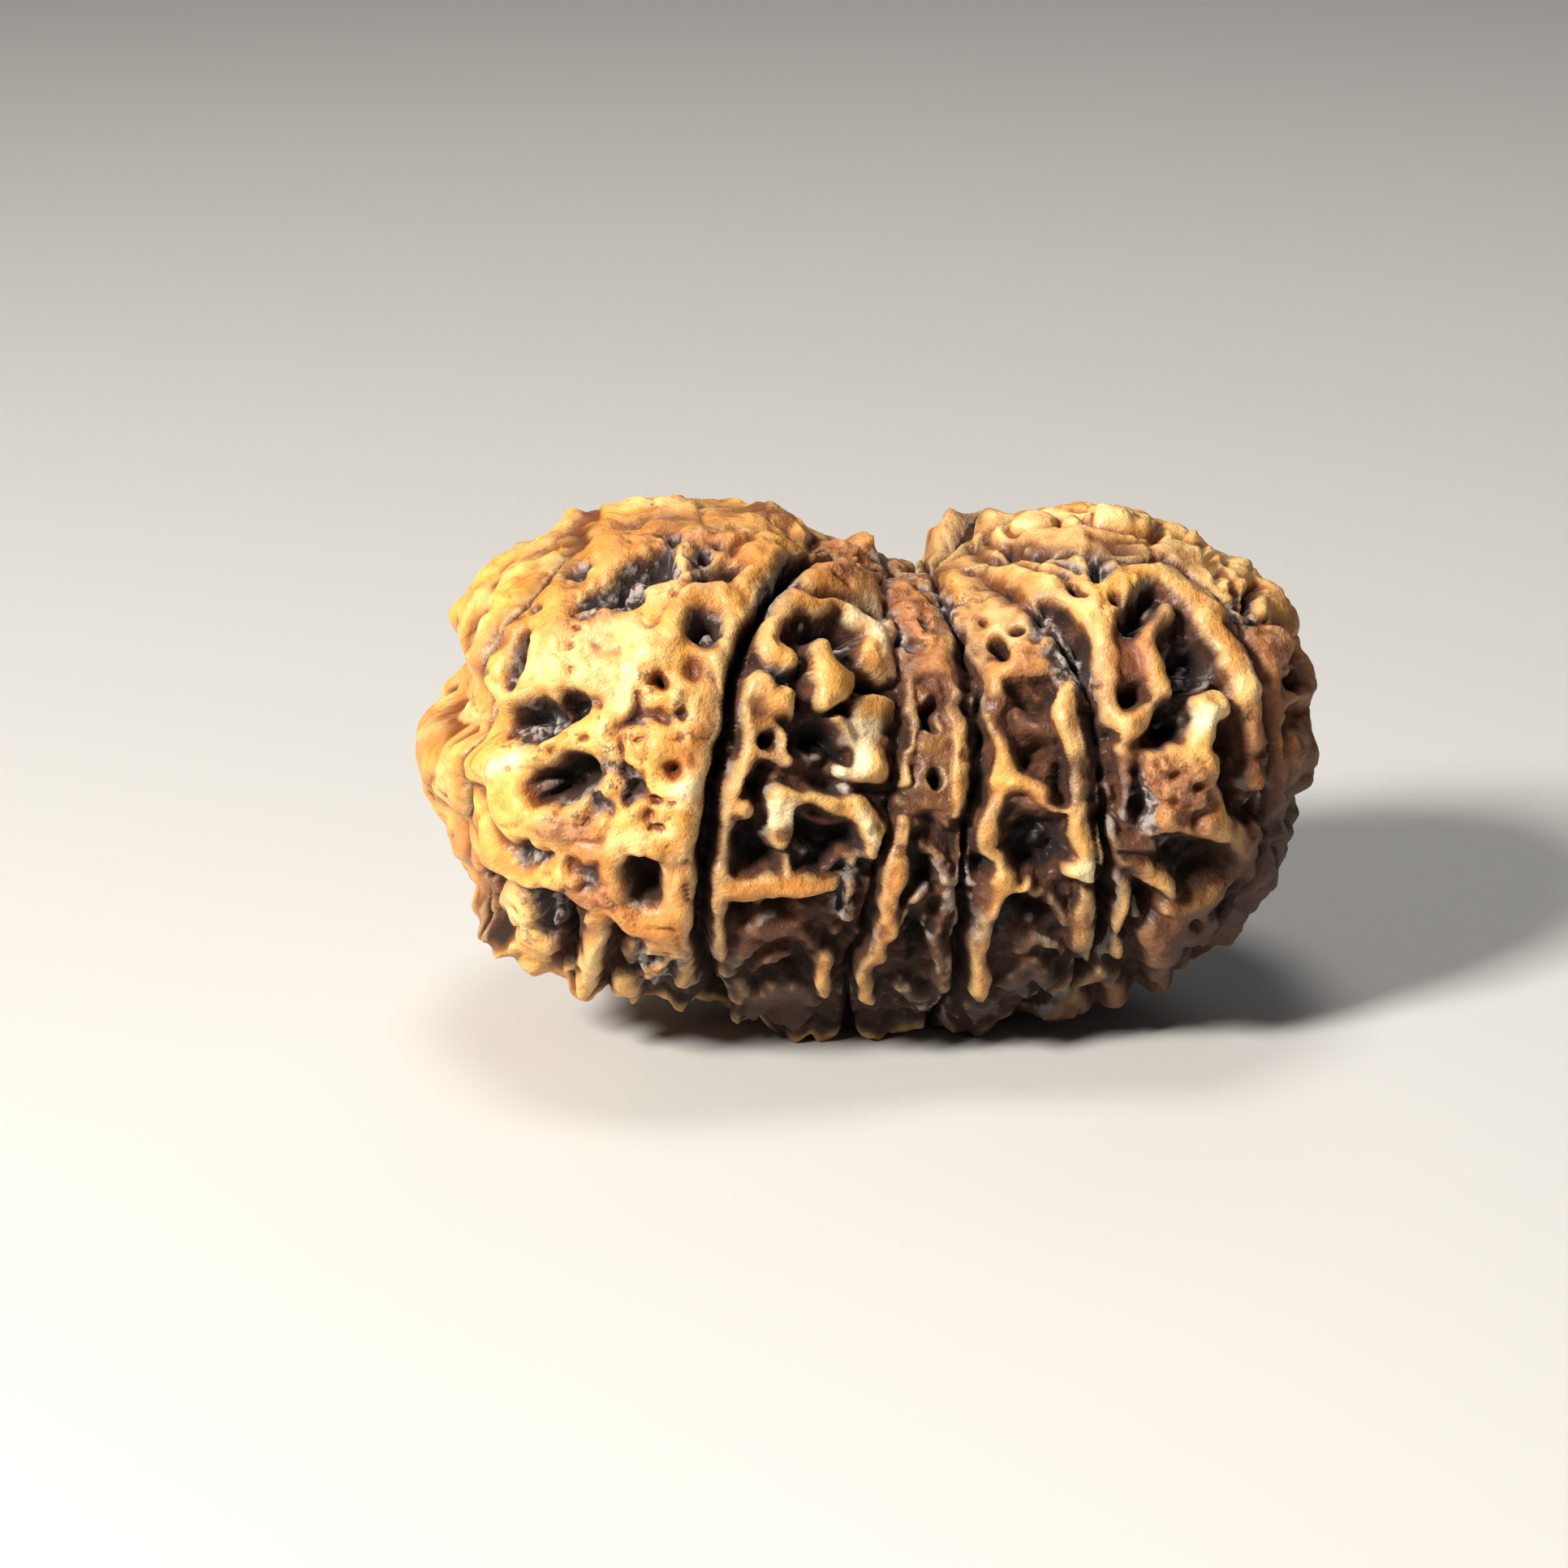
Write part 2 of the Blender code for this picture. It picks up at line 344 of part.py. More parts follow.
# Swellings and dimples of the front: place, radius and height
BOSSES = [
    ((8.4, 16.95), 0.5, -0.3), ((-6.35, 12.95), 0.42, -0.5), ((-9.9, 13.7), 0.3, -0.25),
    ((-8.35, 8.5), 0.4, -0.35), ((-7.8, 7.6), 0.35, -0.4), ((-9.1, 9.3), 0.4, -0.3),
    ((-6.98, 9.25), 0.4, -0.7), ((-7.4, 10.1), 0.7, 0.25), ((-9.6, 7.8), 0.5, -0.5),
    ((-8.5, 8.2), 0.3, -0.4), ((-10.7, 5.6), 0.3, -0.4), ((-10.2, 5.3), 0.35, -0.5),
    ((-9.7, 5.6), 0.25, -0.3), ((-6.6, 6.9), 0.5, 0.15), ((-7.4, 12.4), 0.3, -0.3),
    ((10.5, 9.3), 0.5, 0.2), ((12.3, 9.4), 0.5, 0.2), ((10.6, 8.7), 0.4, -0.2),
    ((11.9, 7.6), 0.5, -0.2), ((-0.5, 17.2), 0.9, 0.35), ((1.4, 15.2), 0.7, 0.15), ((11.2, 8.9), 0.8, 0.2),
    ((11.0, 7.3), 0.7, 0.18), ((12.4, 8.2), 0.6, 0.15), ((14.0, 16.0), 1.0, 0.25),
    ((15.1, 14.0), 0.9, 0.25), ((15.4, 10.0), 0.8, 0.25), ((12.9, 16.6), 0.7, 0.2),
    ((14.7, 5.2), 0.8, 0.25), ((-14.0, 15.6), 0.9, 0.2), ((-15.5, 9.6), 0.9, 0.25),
    ((-8.0, 12.5), 0.8, 0.2), ((-6.7, 11.9), 0.5, 0.18), ((-9.5, 10.6), 0.6, 0.2),
    ((-11.5, 14.2), 0.9, 0.24), ((-13.9, 10.0), 0.8, 0.15), ((-8.3, 10.0), 0.5, 0.22),
    ((-7.2, 8.1), 0.6, 0.22), ((-6.2, 8.6), 0.5, 0.15), ((-8.6, 6.6), 0.9, 0.2),
    ((-12.6, 7.5), 0.9, 0.18), ((-12.2, 9.9), 0.7, 0.12), ((-10.8, 13.0), 0.6, 0.16),
    ((-8.5, 14.3), 0.6, 0.14), ((-7.0, 14.0), 0.5, 0.14), ((-6.2, 6.2), 0.6, 0.14),
    ((-10.3, 6.6), 0.7, -0.14), ((-9.6, 12.0), 0.7, -0.16), ((-8.0, 11.0), 0.8, -0.22),
    ((-7.3, 11.2), 0.4, -0.2), ((-8.8, 9.0), 0.6, -0.15), ((-6.4, 10.3), 0.4, 0.15),
    ((-13.2, 11.9), 0.7, 0.18), ((-6.6, 15.8), 0.6, 0.15), ((-9.2, 17.4), 0.8, 0.15),
    ((-11.3, 7.3), 0.7, 0.15), ((-13.6, 8.0), 0.7, 0.15), ((-7.5, 3.6), 0.7, 0.2),
    ((-6.4, 4.0), 0.5, 0.18), ((-10.4, 4.9), 0.7, -0.12), ((-13.2, 13.2), 0.5, 0.14),
    ((7.75, 5.4), 0.4, 0.2), ((0.5, 11.6), 0.6, 0.2), ((0.6, 9.4), 0.5, 0.22),
    ((0.55, 14.0), 0.5, 0.2), ((-3.2, 14.6), 0.5, 0.15), ((-1.0, 12.6), 0.6, 0.15),
    ((12.8, 11.5), 0.6, 0.3), ((13.9, 12.5), 0.6, 0.2), ((-2.7, 7.9), 0.4, 0.15),
    ((-12.5, 3.4), 0.7, 0.3), ((-9.9, 2.3), 0.5, 0.3), ((10.9, 2.2), 0.7, 0.3),
    ((9.3, 11.2), 0.5, 0.15), ((7.4, 12.4), 0.4, 0.15), ((4.9, 8.9), 0.45, 0.15),
]

# Knobs and notches of the bead's outline: place, half-widths along X, Y and Z, and height
OUTLINE_KNOBS = [
    ((2.75, 17.9), (0.9, 1.4, 1.15), 0.75), ((4.0, 18.3), (1.2, 1.6, 1.0), 0.8),
    ((0.2, 17.6), (0.9, 1.2, 0.8), 0.4), ((-3.2, 18.7), (1.4, 1.6, 0.9), 0.4),
    ((-16.0, 9.3), (2.0, 2.4, 2.0), 0.6), ((-15.3, 11.9), (3.2, 11.0, 1.5), -1.0),
    ((-15.2, 7.3), (1.6, 2.4, 1.1), -0.35), ((-15.0, 14.9), (1.0, 1.8, 1.0), 0.1),
    ((-12.0, 17.7), (0.7, 1.6, 0.8), -0.1), ((-10.3, 18.7), (1.1, 1.4, 0.8), 0.45),
    ((-8.0, 19.2), (1.6, 1.6, 0.8), 0.2), ((-13.0, 17.2), (0.8, 1.6, 0.8), 0.15),
    ((-13.6, 2.7), (0.8, 1.2, 0.9), 0.9), ((-12.3, 2.0), (0.7, 1.0, 0.8), 0.6),
    ((-10.3, 1.2), (0.6, 0.9, 0.8), 0.55), ((-15.2, 4.9), (1.4, 3.0, 1.0), -0.2),
    ((-14.2, 3.7), (0.7, 1.2, 0.9), 0.3),
    ((-9.4, 0.9), (0.7, 1.4, 0.8), 0.1), ((-8.0, 0.7), (0.7, 1.4, 0.8), 0.3),
    ((-6.5, 0.6), (0.8, 1.4, 0.8), 0.55), ((0.2, -0.5), (0.8, 1.4, 0.8), 0.3),
    ((-4.4, 0.2), (0.9, 1.4, 0.8), 0.5),
    ((-2.9, -0.2), (1.0, 1.6, 0.8), 0.6), ((-1.3, -0.5), (0.6, 1.4, 0.8), 0.35),
    ((4.0, -0.3), (0.9, 1.4, 0.8), 0.35), ((6.9, 0.3), (0.9, 1.4, 0.8), 0.5),
    ((16.2, 12.9), (1.5, 2.4, 1.2), 0.4), ((15.9, 11.35), (0.9, 2.0, 0.6), -0.6),
    ((16.1, 9.8), (1.5, 2.0, 1.2), 0.1), ((15.7, 7.9), (1.2, 4.0, 0.9), -0.5),
    ((12.3, 17.4), (0.5, 4.0, 0.7), -0.8), ((13.5, 17.0), (0.9, 1.6, 0.9), 0.3),
    ((15.3, 15.5), (1.4, 2.2, 1.4), 0.6), ((15.3, 6.4), (1.0, 1.8, 1.0), 0.1),
    ((8.6, 0.9), (1.6, 1.2, 0.9), 0.45), ((10.7, 1.5), (0.7, 1.0, 0.8), 0.65),
    ((13.4, 3.3), (0.8, 1.4, 0.8), 0.35),
]

# Pebble-like knobs with a crease round them: place, half-widths along X, Y and Z, and height
PEBBLES = [
    ((9.3, 18.3), (1.45, 0.9, 0.7), 0.45), ((11.85, 17.6), (0.42, 0.42, 0.5), 0.7),
    ((7.5, 18.45), (0.6, 0.6, 0.5), 0.2), ((6.0, 18.4), (1.0, 0.7, 0.5), 0.1),
]


def smooth_min(first, second, width):
    """The lesser of two values, rounded where they are nearly alike."""
    closeness = np.clip(width - np.abs(first - second), 0.0, None) / width
    return np.minimum(first, second) - closeness * closeness * width / 4


def smooth_max(first, second, width):
    return -smooth_min(-first, -second, width)


def smooth_step(values, low, high):
    share = np.clip((values - low) / (high - low), 0.0, 1.0)
    return share * share * (3 - 2 * share)


def lobe_distance(points, lobe):
    """About how far the points lie outside a leaning superellipsoid."""
    offset = points - np.array(lobe["centre"])
    lean_cos = np.cos(lobe["lean"])
    lean_sin = np.sin(lobe["lean"])
    turned = np.stack([offset[:, 0] * lean_cos + offset[:, 2] * lean_sin, offset[:, 1],
                       offset[:, 2] * lean_cos - offset[:, 0] * lean_sin], axis=1)
    radii = np.array(lobe["radii"])
    power = lobe["power"]
    share = np.maximum(np.abs(turned) / radii, 1e-9)
    reach = (share ** power).sum(axis=1) ** (1 / power)
    slope = np.linalg.norm((share / reach[:, None]) ** (power - 1) / radii, axis=1)
    return (reach - 1) / slope


def body_distance(points):
    lobes = smooth_min(lobe_distance(points, LEFT_LOBE), lobe_distance(points, RIGHT_LOBE), WAIST_BLEND)
    return smooth_min(lobes, lobe_distance(points, KEEL), KEEL_BLEND)


def on_body(directions):
    """The points where rays from the core leave the body."""
    near = np.zeros(len(directions))
    far = np.full(len(directions), BODY_REACH)
    for _ in range(34):
        middle = (near + far) / 2
        inside = body_distance(CORE + directions * middle[:, None]) < 0
        near = np.where(inside, middle, near)
        far = np.where(inside, far, middle)
    return CORE + directions * near[:, None]


def body_normals(points, step=0.01):
    slopes = [body_distance(points + axis * step) - body_distance(points - axis * step)
              for axis in np.eye(3)]
    normals = np.stack(slopes, axis=1)
    return normals / np.linalg.norm(normals, axis=1, keepdims=True)


def onto_body(points):
    """Moves points along the body's normals until they lie on it."""
    for _ in range(6):
        points = points - body_normals(points) * body_distance(points)[:, None]
    return points


BACK = np.array([np.sin(EYE_TURN) * np.cos(EYE_RISE), -np.cos(EYE_TURN) * np.cos(EYE_RISE),
                 np.sin(EYE_RISE)])
RIGHT = np.array([np.cos(EYE_TURN), np.sin(EYE_TURN), 0.0])
UP = np.cross(BACK, RIGHT)
EYE = TARGET + BACK * EYE_DISTANCE


def drawn(points):
    """Where points fall on the drawing plane: across and up from its foot."""
    offset = points - EYE
    scale = EYE_DISTANCE / -(offset @ BACK)
    return np.stack([(offset @ RIGHT) * scale, (offset @ UP) * scale + PLANE_FOOT], axis=1)


def seen(marks):
    """The body's points under marks of the drawing plane."""
    marks = np.array(marks)
    on_plane = TARGET + marks[:, :1] * RIGHT + (marks[:, 1:] - PLANE_FOOT) * UP
    rays = on_plane - EYE
    rays = rays / np.linalg.norm(rays, axis=1, keepdims=True)
    travel = np.full(len(marks), EYE_DISTANCE - BODY_REACH)
    closest = travel.copy()
    least = np.full(len(marks), np.inf)
    for _ in range(90):
        gap = body_distance(EYE + rays * travel[:, None])
        nearer = gap < least
        closest = np.where(nearer, travel, closest)
        least = np.where(nearer, gap, least)
        travel = travel + np.clip(gap, -0.5, 0.5) * 0.9 + np.where(gap > 0.02, 0.05, 0.0)
    return onto_body(EYE + rays * closest[:, None])


def smooth_path(points, parts=5):
    """Points along a Catmull-Rom curve through the given ones."""
    points = np.array(points, dtype=float)
    if len(points) < 3:
        return points
    padded = np.vstack([2 * points[0] - points[1], points, 2 * points[-1] - points[-2]])
    share = (np.arange(parts) / parts)[:, None]
    curve = []
    for before, first, second, after in zip(padded, padded[1:], padded[2:], padded[3:]):
        curve.append(0.5 * (2 * first + (second - before) * share
                            + (2 * before - 5 * first + 4 * second - after) * share ** 2
                            + (3 * first - before - 3 * second + after) * share ** 3))
    return np.vstack(curve + [points[-1:]])


def path_depth(spots, path, half_widths):
    """How deep spots lie inside a path whose half-width runs evenly from one end to the other."""
    widths = np.linspace(half_widths[0], half_widths[1], len(path))
    depth = np.full(len(spots), -np.inf)
    for start, end, wide_start, wide_end in zip(path, path[1:], widths, widths[1:]):
        run = end - start
        share = np.clip((spots - start) @ run / max(run @ run, 1e-12), 0.0, 1.0)
        gap = np.linalg.norm(spots - start - share[:, None] * run, axis=1)
        depth = np.maximum(depth, wide_start + (wide_end - wide_start) * share - gap)
    return depth


def oval_depth(spots, centre, radii, tilt):
    turn = np.radians(tilt)
    offset = spots - np.array(centre)
    turned = np.stack([offset[:, 0] * np.cos(turn) + offset[:, 1] * np.sin(turn),
                       offset[:, 1] * np.cos(turn) - offset[:, 0] * np.sin(turn)], axis=1)
    share = turned / np.array(radii)
    reach = np.linalg.norm(share, axis=1)
    slope = np.linalg.norm(share / np.array(radii), axis=1)
    return np.where(reach > 1e-6, reach * (1 - reach) / np.maximum(slope, 1e-9), min(radii))


def sheet_depth(spots, outline):
    outline = np.array(outline)
    gap = np.full(len(spots), np.inf)
    inside = np.zeros(len(spots), dtype=bool)
    for start, end in zip(outline, np.roll(outline, -1, axis=0)):
        run = end - start
        share = np.clip((spots - start) @ run / (run @ run), 0.0, 1.0)
        gap = np.minimum(gap, np.linalg.norm(spots - start - share[:, None] * run, axis=1))
        crosses = (start[1] > spots[:, 1]) != (end[1] > spots[:, 1])
        rise = run[1] if run[1] else 1.0
        at = start[0] + (spots[:, 1] - start[1]) / rise * run[0]
        inside ^= crosses & (spots[:, 0] < at)
    return np.where(inside, gap, -gap)


def mark_depth(spots, mark):
    """How deep spots lie inside one mark, with the rows of those near enough to matter."""
    kind = mark[0]
    if kind == "stroke":
        widths = mark[1] if isinstance(mark[1], tuple) else (mark[1], mark[1])
        extent = smooth_path(mark[2])
        margin = max(widths) + FAR
    elif kind == "oval":
        extent = np.array([mark[1]])
        margin = max(mark[2]) + FAR
    else:
        extent = np.array(mark[1])
        margin = FAR
    low = extent.min(axis=0) - margin
    high = extent.max(axis=0) + margin
    rows = np.flatnonzero(np.all((spots > low) & (spots < high), axis=1))
    if kind == "stroke":
        depth = path_depth(spots[rows], extent, widths)
    elif kind == "oval":
        depth = oval_depth(spots[rows], mark[1], mark[2], mark[3])
    else:
        depth = sheet_depth(spots[rows], mark[1])
    return rows, depth


def marks_depth(spots, marks, depth=None):
    """How deep spots lie inside any of the marks, which flow together where they meet."""
    if depth is None:
        depth = np.full(len(spots), -FAR)
    for mark in marks:
        rows, inside = mark_depth(spots, mark)
        depth[rows] = smooth_max(depth[rows], np.maximum(inside, -FAR), JOIN)
    return depth


def cut_marks(spots, marks, depth):
    for mark in marks:
        rows, inside = mark_depth(spots, mark)
        depth[rows] = smooth_min(depth[rows], -inside, JOIN)
    return depth


def lattice_noise(points, cell, seed):
    """Smooth noise from -1 to 1 that changes over about one cell."""
    table = np.random.default_rng(seed).uniform(-1.0, 1.0, 8192)
    scaled = points / cell
    corner = np.floor(scaled).astype(np.int64)
    share = scaled - corner
    share = share * share * (3 - 2 * share)
    total = np.zeros(len(points))
    for bits in range(8):
        step = np.array([bits & 1, bits >> 1 & 1, bits >> 2 & 1])
        spot = corner + step
        row = (spot[:, 0] * 73856093 ^ spot[:, 1] * 19349663 ^ spot[:, 2] * 83492791) % len(table)
        total += table[row] * np.prod(np.where(step, share, 1 - share), axis=1)
    return total


def warped(points, amount, cell, seed):
    return points + amount * np.stack([lattice_noise(points, cell, seed + axis) for axis in range(3)],
                                      axis=1)


def furrow_paths():
    """Every furrow as a path on the body, with its half-widths at the stalk and at the tip."""
    stalk = on_body(np.array([[STALK[0] - CORE[0], STALK[1] - CORE[1], 8.0]])
                    / np.linalg.norm([STALK[0] - CORE[0], STALK[1] - CORE[1], 8.0]))
    paths = []
    for widths, *marks in FURROWS:
        front = seen(marks)
        foot = front[-1]
        tip_x = CORE[0] + TIP_HALF_LENGTH * np.tanh((foot[0] - CORE[0]) / 9.0)
        under = []
        for share in (0.3, 0.6, 0.85):
            under.append([foot[0] + (tip_x - foot[0]) * share ** 1.5, foot[1] * (1 - share),
                          foot[2] * (1 - share) ** 2])
        path = np.vstack([stalk, front, onto_body(np.array(under))])
        paths.append((widths, onto_body(smooth_path(path))))
    for across in BACK_FURROWS:
        rise = np.radians(np.linspace(82.0, -80.0, 13))
        spread = np.cos(rise) ** 0.75
        wander = 0.5 * np.sin(rise * 2.3 + across)
        offset = across - CORE[0] + wander
        aims = np.stack([offset * spread + 0.4 * np.sin(rise), 9.0 * np.cos(rise), 9.0 * np.sin(rise)],
                        axis=1)
        back = on_body(aims / np.linalg.norm(aims, axis=1, keepdims=True))
        path = np.vstack([stalk, back])
        wide = 0.2 if abs(across) > 9 else 0.36
        paths.append(((0.14, wide), onto_body(smooth_path(path))))
    return paths


def furrow_depth(points):
    """How deep points lie inside the nearest furrow, below zero outside it."""
    depth = np.full(len(points), -np.inf)
    for widths, path in furrow_paths():
        depth = np.maximum(depth, path_depth(points, path, widths))
    return depth


def net_depth(points, furrow):
    """The seeded net of the sides, back and underside: how deep in its skin, and in its hollows."""
    draw = np.random.default_rng(SEED)
    count = NET_CELLS
    height = 1 - 2 * (np.arange(count) + 0.5) / count
    turn = np.pi * (1 + 5 ** 0.5) * np.arange(count)
    ring = np.sqrt(1 - height ** 2)
    aims = np.stack([ring * np.cos(turn), ring * np.sin(turn), height], axis=1)
    aims = aims * MESH_STRETCH + draw.normal(0.0, 0.045, (count, 3))
    centres = on_body(aims / np.linalg.norm(aims, axis=1, keepdims=True))
    filled = draw.random(count) < FILLED_SHARE
    shallow = draw.random(count) < SHALLOW_SHARE
    wavy = warped(points, 0.35, 1.3, SEED)
    nearest = np.full(len(points), np.inf)
    second = np.full(len(points), np.inf)
    owner = np.zeros(len(points), dtype=int)
    for row, centre in enumerate(centres):
        gap = np.linalg.norm(wavy - centre, axis=1)
        closer = gap < nearest
        second = np.where(closer, nearest, np.minimum(second, gap))
        owner = np.where(closer, row, owner)
        nearest = np.where(closer, gap, nearest)
    border = (second - nearest) / 2
    bar = NET_BAR * (1 + 0.5 * lattice_noise(points, 2.2, SEED + 5))
    depth = np.where(filled[owner], bar + border, bar - border)
    small = 0.3 + 0.12 * lattice_noise(points, 3.0, SEED + 9)
    depth = np.where(filled[owner], np.minimum(depth, nearest - small), depth)
    rim = RIM_BAR - np.abs(-furrow - RIM_BAR * 1.1)
    net = np.clip(smooth_max(depth, rim, JOIN), -FAR, FAR)
    return net, np.where(shallow[owner], -FAR, -net)


def relief(points, normals):
    """The height of the surface over the body, and the share of it that is form and not relief."""
    furrow = furrow_depth(warped(points, WOBBLE, 0.9, SEED + 20))
    spots = drawn(warped(points, WOBBLE, 0.8, SEED + 30))
    to_eye = EYE - points
    facing = (normals * to_eye).sum(axis=1) / np.linalg.norm(to_eye, axis=1)
    front = smooth_step(facing, DRAWN_FROM, DRAWN_FULLY)
    plates = marks_depth(spots, PLATES)
    drawn_skin = marks_depth(spots, RAISED, plates.copy())
    drawn_skin = np.clip(cut_marks(spots, PITS, drawn_skin), -FAR, FAR)
    low_skin = marks_depth(spots, SUNKEN)
    net, net_hollow = net_depth(points, furrow)
    skin = drawn_skin * front + net * (1 - front)
    worn = 1 - np.linalg.norm((points[:, :2] - WORN_CENTRE) / WORN_HALF, axis=1)
    worn = np.where(points[:, 2] < CORE[2], worn, -1.0)
    wear = smooth_step(worn, -0.3, 0.1)
    skin = smooth_max(skin, np.clip(worn * 3, -FAR, FAR), JOIN)
    skin = skin + EDGE_WANDER * lattice_noise(points, 1.1, SEED + 70)
    skin = skin + EDGE_FRAY * lattice_noise(points, 0.5, SEED + 71)
    skin = smooth_min(skin, -furrow + np.clip(worn * 6, 0.0, 2 * FAR), JOIN / 2)
    ragged = drawn(warped(warped(points, RAGGED, 1.2, SEED + 50), 0.14, 0.5, SEED + 53))
    hollow = np.maximum(marks_depth(ragged, HOLLOWS), marks_depth(spots, PITS))
    hollow = hollow * front + net_hollow * (1 - front)
    rightward = (spots[:, 0] > 1.0).astype(float)
    sunk = smooth_step(hollow + 0.2 * lattice_noise(points, 0.8, SEED + 82), -0.25, 0.5)
    ground = GROUND + GROUND_WAVE * lattice_noise(points, 1.5, SEED + 80)
    ground = ground + GROUND_ROUGH * lattice_noise(points, 0.7, SEED + 81)
    deep = HOLLOW_FLOOR + HOLLOW_WAVE * lattice_noise(points, 1.0, SEED + 83)
    ground = ground + (deep - ground) * sunk
    height = skin_height(skin, ground)
    low = LOW_SKIN + skin_height(low_skin, -1.5) - 1.4 * smooth_step(hollow, 0.05, 0.5) * rightward
    low = np.where(front > 0.5, low, 2 * HOLLOW_FLOOR)
    height = smooth_max(height, low, 0.15)
    slim = front * (1 - smooth_step(plates, -0.4, 0.4)) * smooth_step(skin, -0.3, 0.1) * (1 - wear)
    height = height - BAR_SINK * slim * smooth_step(lattice_noise(points, 2.0, SEED + 90), 0.0, 0.7)
    trench = smooth_step(furrow, 0.0, 0.25) * (1 - wear)
    height = height + trench * np.minimum(FURROW_FLOOR - height, 0.0)
    sag = np.clip(1 + furrow / RIM_REACH, 0.0, 1.0) ** 2 * (1 - wear)
    height = height - RIM_SAG * sag * smooth_step(skin, -0.2, 0.3)
    for mark in CREASES:
        rows, inside = mark_depth(spots, mark)
        width = mark[1]
        groove = np.exp(-((inside - width) / (1.4 * width)) ** 2)
        height[rows] -= CREASE_DEPTH * groove * front[rows]
    for place, radius, rise in BOSSES:
        gap = np.linalg.norm(spots - np.array(place), axis=1)
        height += rise * np.exp(-(gap / radius) ** 2) * front
    form = (1 - wear) * (SWELL * lattice_noise(points, 2.6, SEED + 40)
                         + LUMPS * lattice_noise(points, 1.2, SEED + 41))
    knob_spots = seen([knob[0] for knob in OUTLINE_KNOBS])
    for (_, radii, rise), spot in zip(OUTLINE_KNOBS, knob_spots):
        reach = np.linalg.norm((points - spot) / np.array(radii), axis=1)
        form += rise * smooth_step(-reach, -1.15, -0.4)
    pebble_spots = seen([pebble[0] for pebble in PEBBLES])
    for (_, radii, rise), spot in zip(PEBBLES, pebble_spots):
        reach = np.linalg.norm((points - spot) / np.array(radii), axis=1)
        form += rise * np.sqrt(np.clip(1 - reach ** 2, 0.0, 1.0))
        height -= 0.35 * np.exp(-((reach - 1.1) / 0.16) ** 2)
    return height + form, form


def skin_height(depth, floor):
    """A rounded edge at the skin's rim, then a steep wall down to the ground."""
    share = np.clip(1 - depth / EDGE_REACH, 0.0, 1.0)
    top = -EDGE_DROP * (1 - np.sqrt(np.clip(1 - share ** 2, 0.0, 1.0)))
    wall = np.where(depth < 0, WALL_SLOPE * depth, 0.0)
    return smooth_max(top + wall, floor, 0.3)


def ball_mesh():
    """A triangle mesh of even density around the core, as directions."""
    bpy.ops.mesh.primitive_ico_sphere_add(subdivisions=MESH_LEVELS, radius=1.0)
    ball = bpy.context.object
    mesh = ball.data
    count = len(mesh.vertices)
    places = np.empty(count * 3)
    mesh.vertices.foreach_get("co", places)
    directions = places.reshape(count, 3) * MESH_STRETCH
    return ball, directions / np.linalg.norm(directions, axis=1, keepdims=True)


def shell_material():
    material = bpy.data.materials.new("nut_stone")
    material.use_nodes = True
    shader = material.node_tree.nodes["Principled BSDF"]
    shader.inputs["Base Color"].default_value = SHELL_COLOUR
    shader.inputs["Roughness"].default_value = SHELL_ROUGHNESS
    shader.inputs["Metallic"].default_value = 0.0
    return material


def make_bead():
    bead, directions = ball_mesh()
    bead.name = "rudraksha_bead"
    bead.data.name = "rudraksha_bead"
    points = on_body(directions)
    normals = body_normals(points)
    height, _ = relief(points, normals)
    points = points + normals * height[:, None]
    points[:, 2] -= REST_CUT
    bead.data.vertices.foreach_set("co", (points * MM).ravel())
    bead.data.update()
    bead.data.materials.append(shell_material())
    return bead


def thin_out(bead):
    fewer = bead.modifiers.new("fewer faces", "DECIMATE")
    fewer.ratio = TRIANGLES / len(bead.data.polygons)
    bpy.context.view_layer.objects.active = bead
    bpy.ops.object.modifier_apply(modifier=fewer.name)


def cut_rest_flat(bead):
    """Cuts the flat spot that the bead rests on, and centres the bead over its origin."""
    bpy.ops.mesh.primitive_cube_add(size=1.0, location=(0.0, 0.0, -0.005))
    cutter = bpy.context.object
    cutter.name = "rest_cutter"
    cutter.scale = (0.05, 0.04, 0.01)
    bpy.ops.object.transform_apply(location=True, rotation=False, scale=True)
    flat = bead.modifiers.new("flat spot", "BOOLEAN")
    flat.operation = "DIFFERENCE"
    flat.solver = "EXACT"
    flat.object = cutter
    bpy.context.view_layer.objects.active = bead
    bpy.ops.object.modifier_apply(modifier=flat.name)
    bpy.data.objects.remove(cutter)


def centre(bead):
    places = np.empty(len(bead.data.vertices) * 3)
    bead.data.vertices.foreach_get("co", places)
    places = places.reshape(-1, 3)
    places[:, :2] -= (places[:, :2].min(axis=0) + places[:, :2].max(axis=0)) / 2
    bead.data.vertices.foreach_set("co", places.ravel())
    bead.data.update()


for thing in list(bpy.data.objects):
    bpy.data.objects.remove(thing)
bead = make_bead()
thin_out(bead)
cut_rest_flat(bead)
centre(bead)
bead.data.shade_smooth()
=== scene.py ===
"""The looks of a gauri shankar rudraksha: a fine-meshed bead with the same relief as its solid.

The drawing plane, the body and every mark are those of the part, in millimetres. This script
raises the same relief on a finer mesh, adds the grain of the skin and the crust in the pits, and
gives the mesh its finish, a floor, lights and the camera.
"""

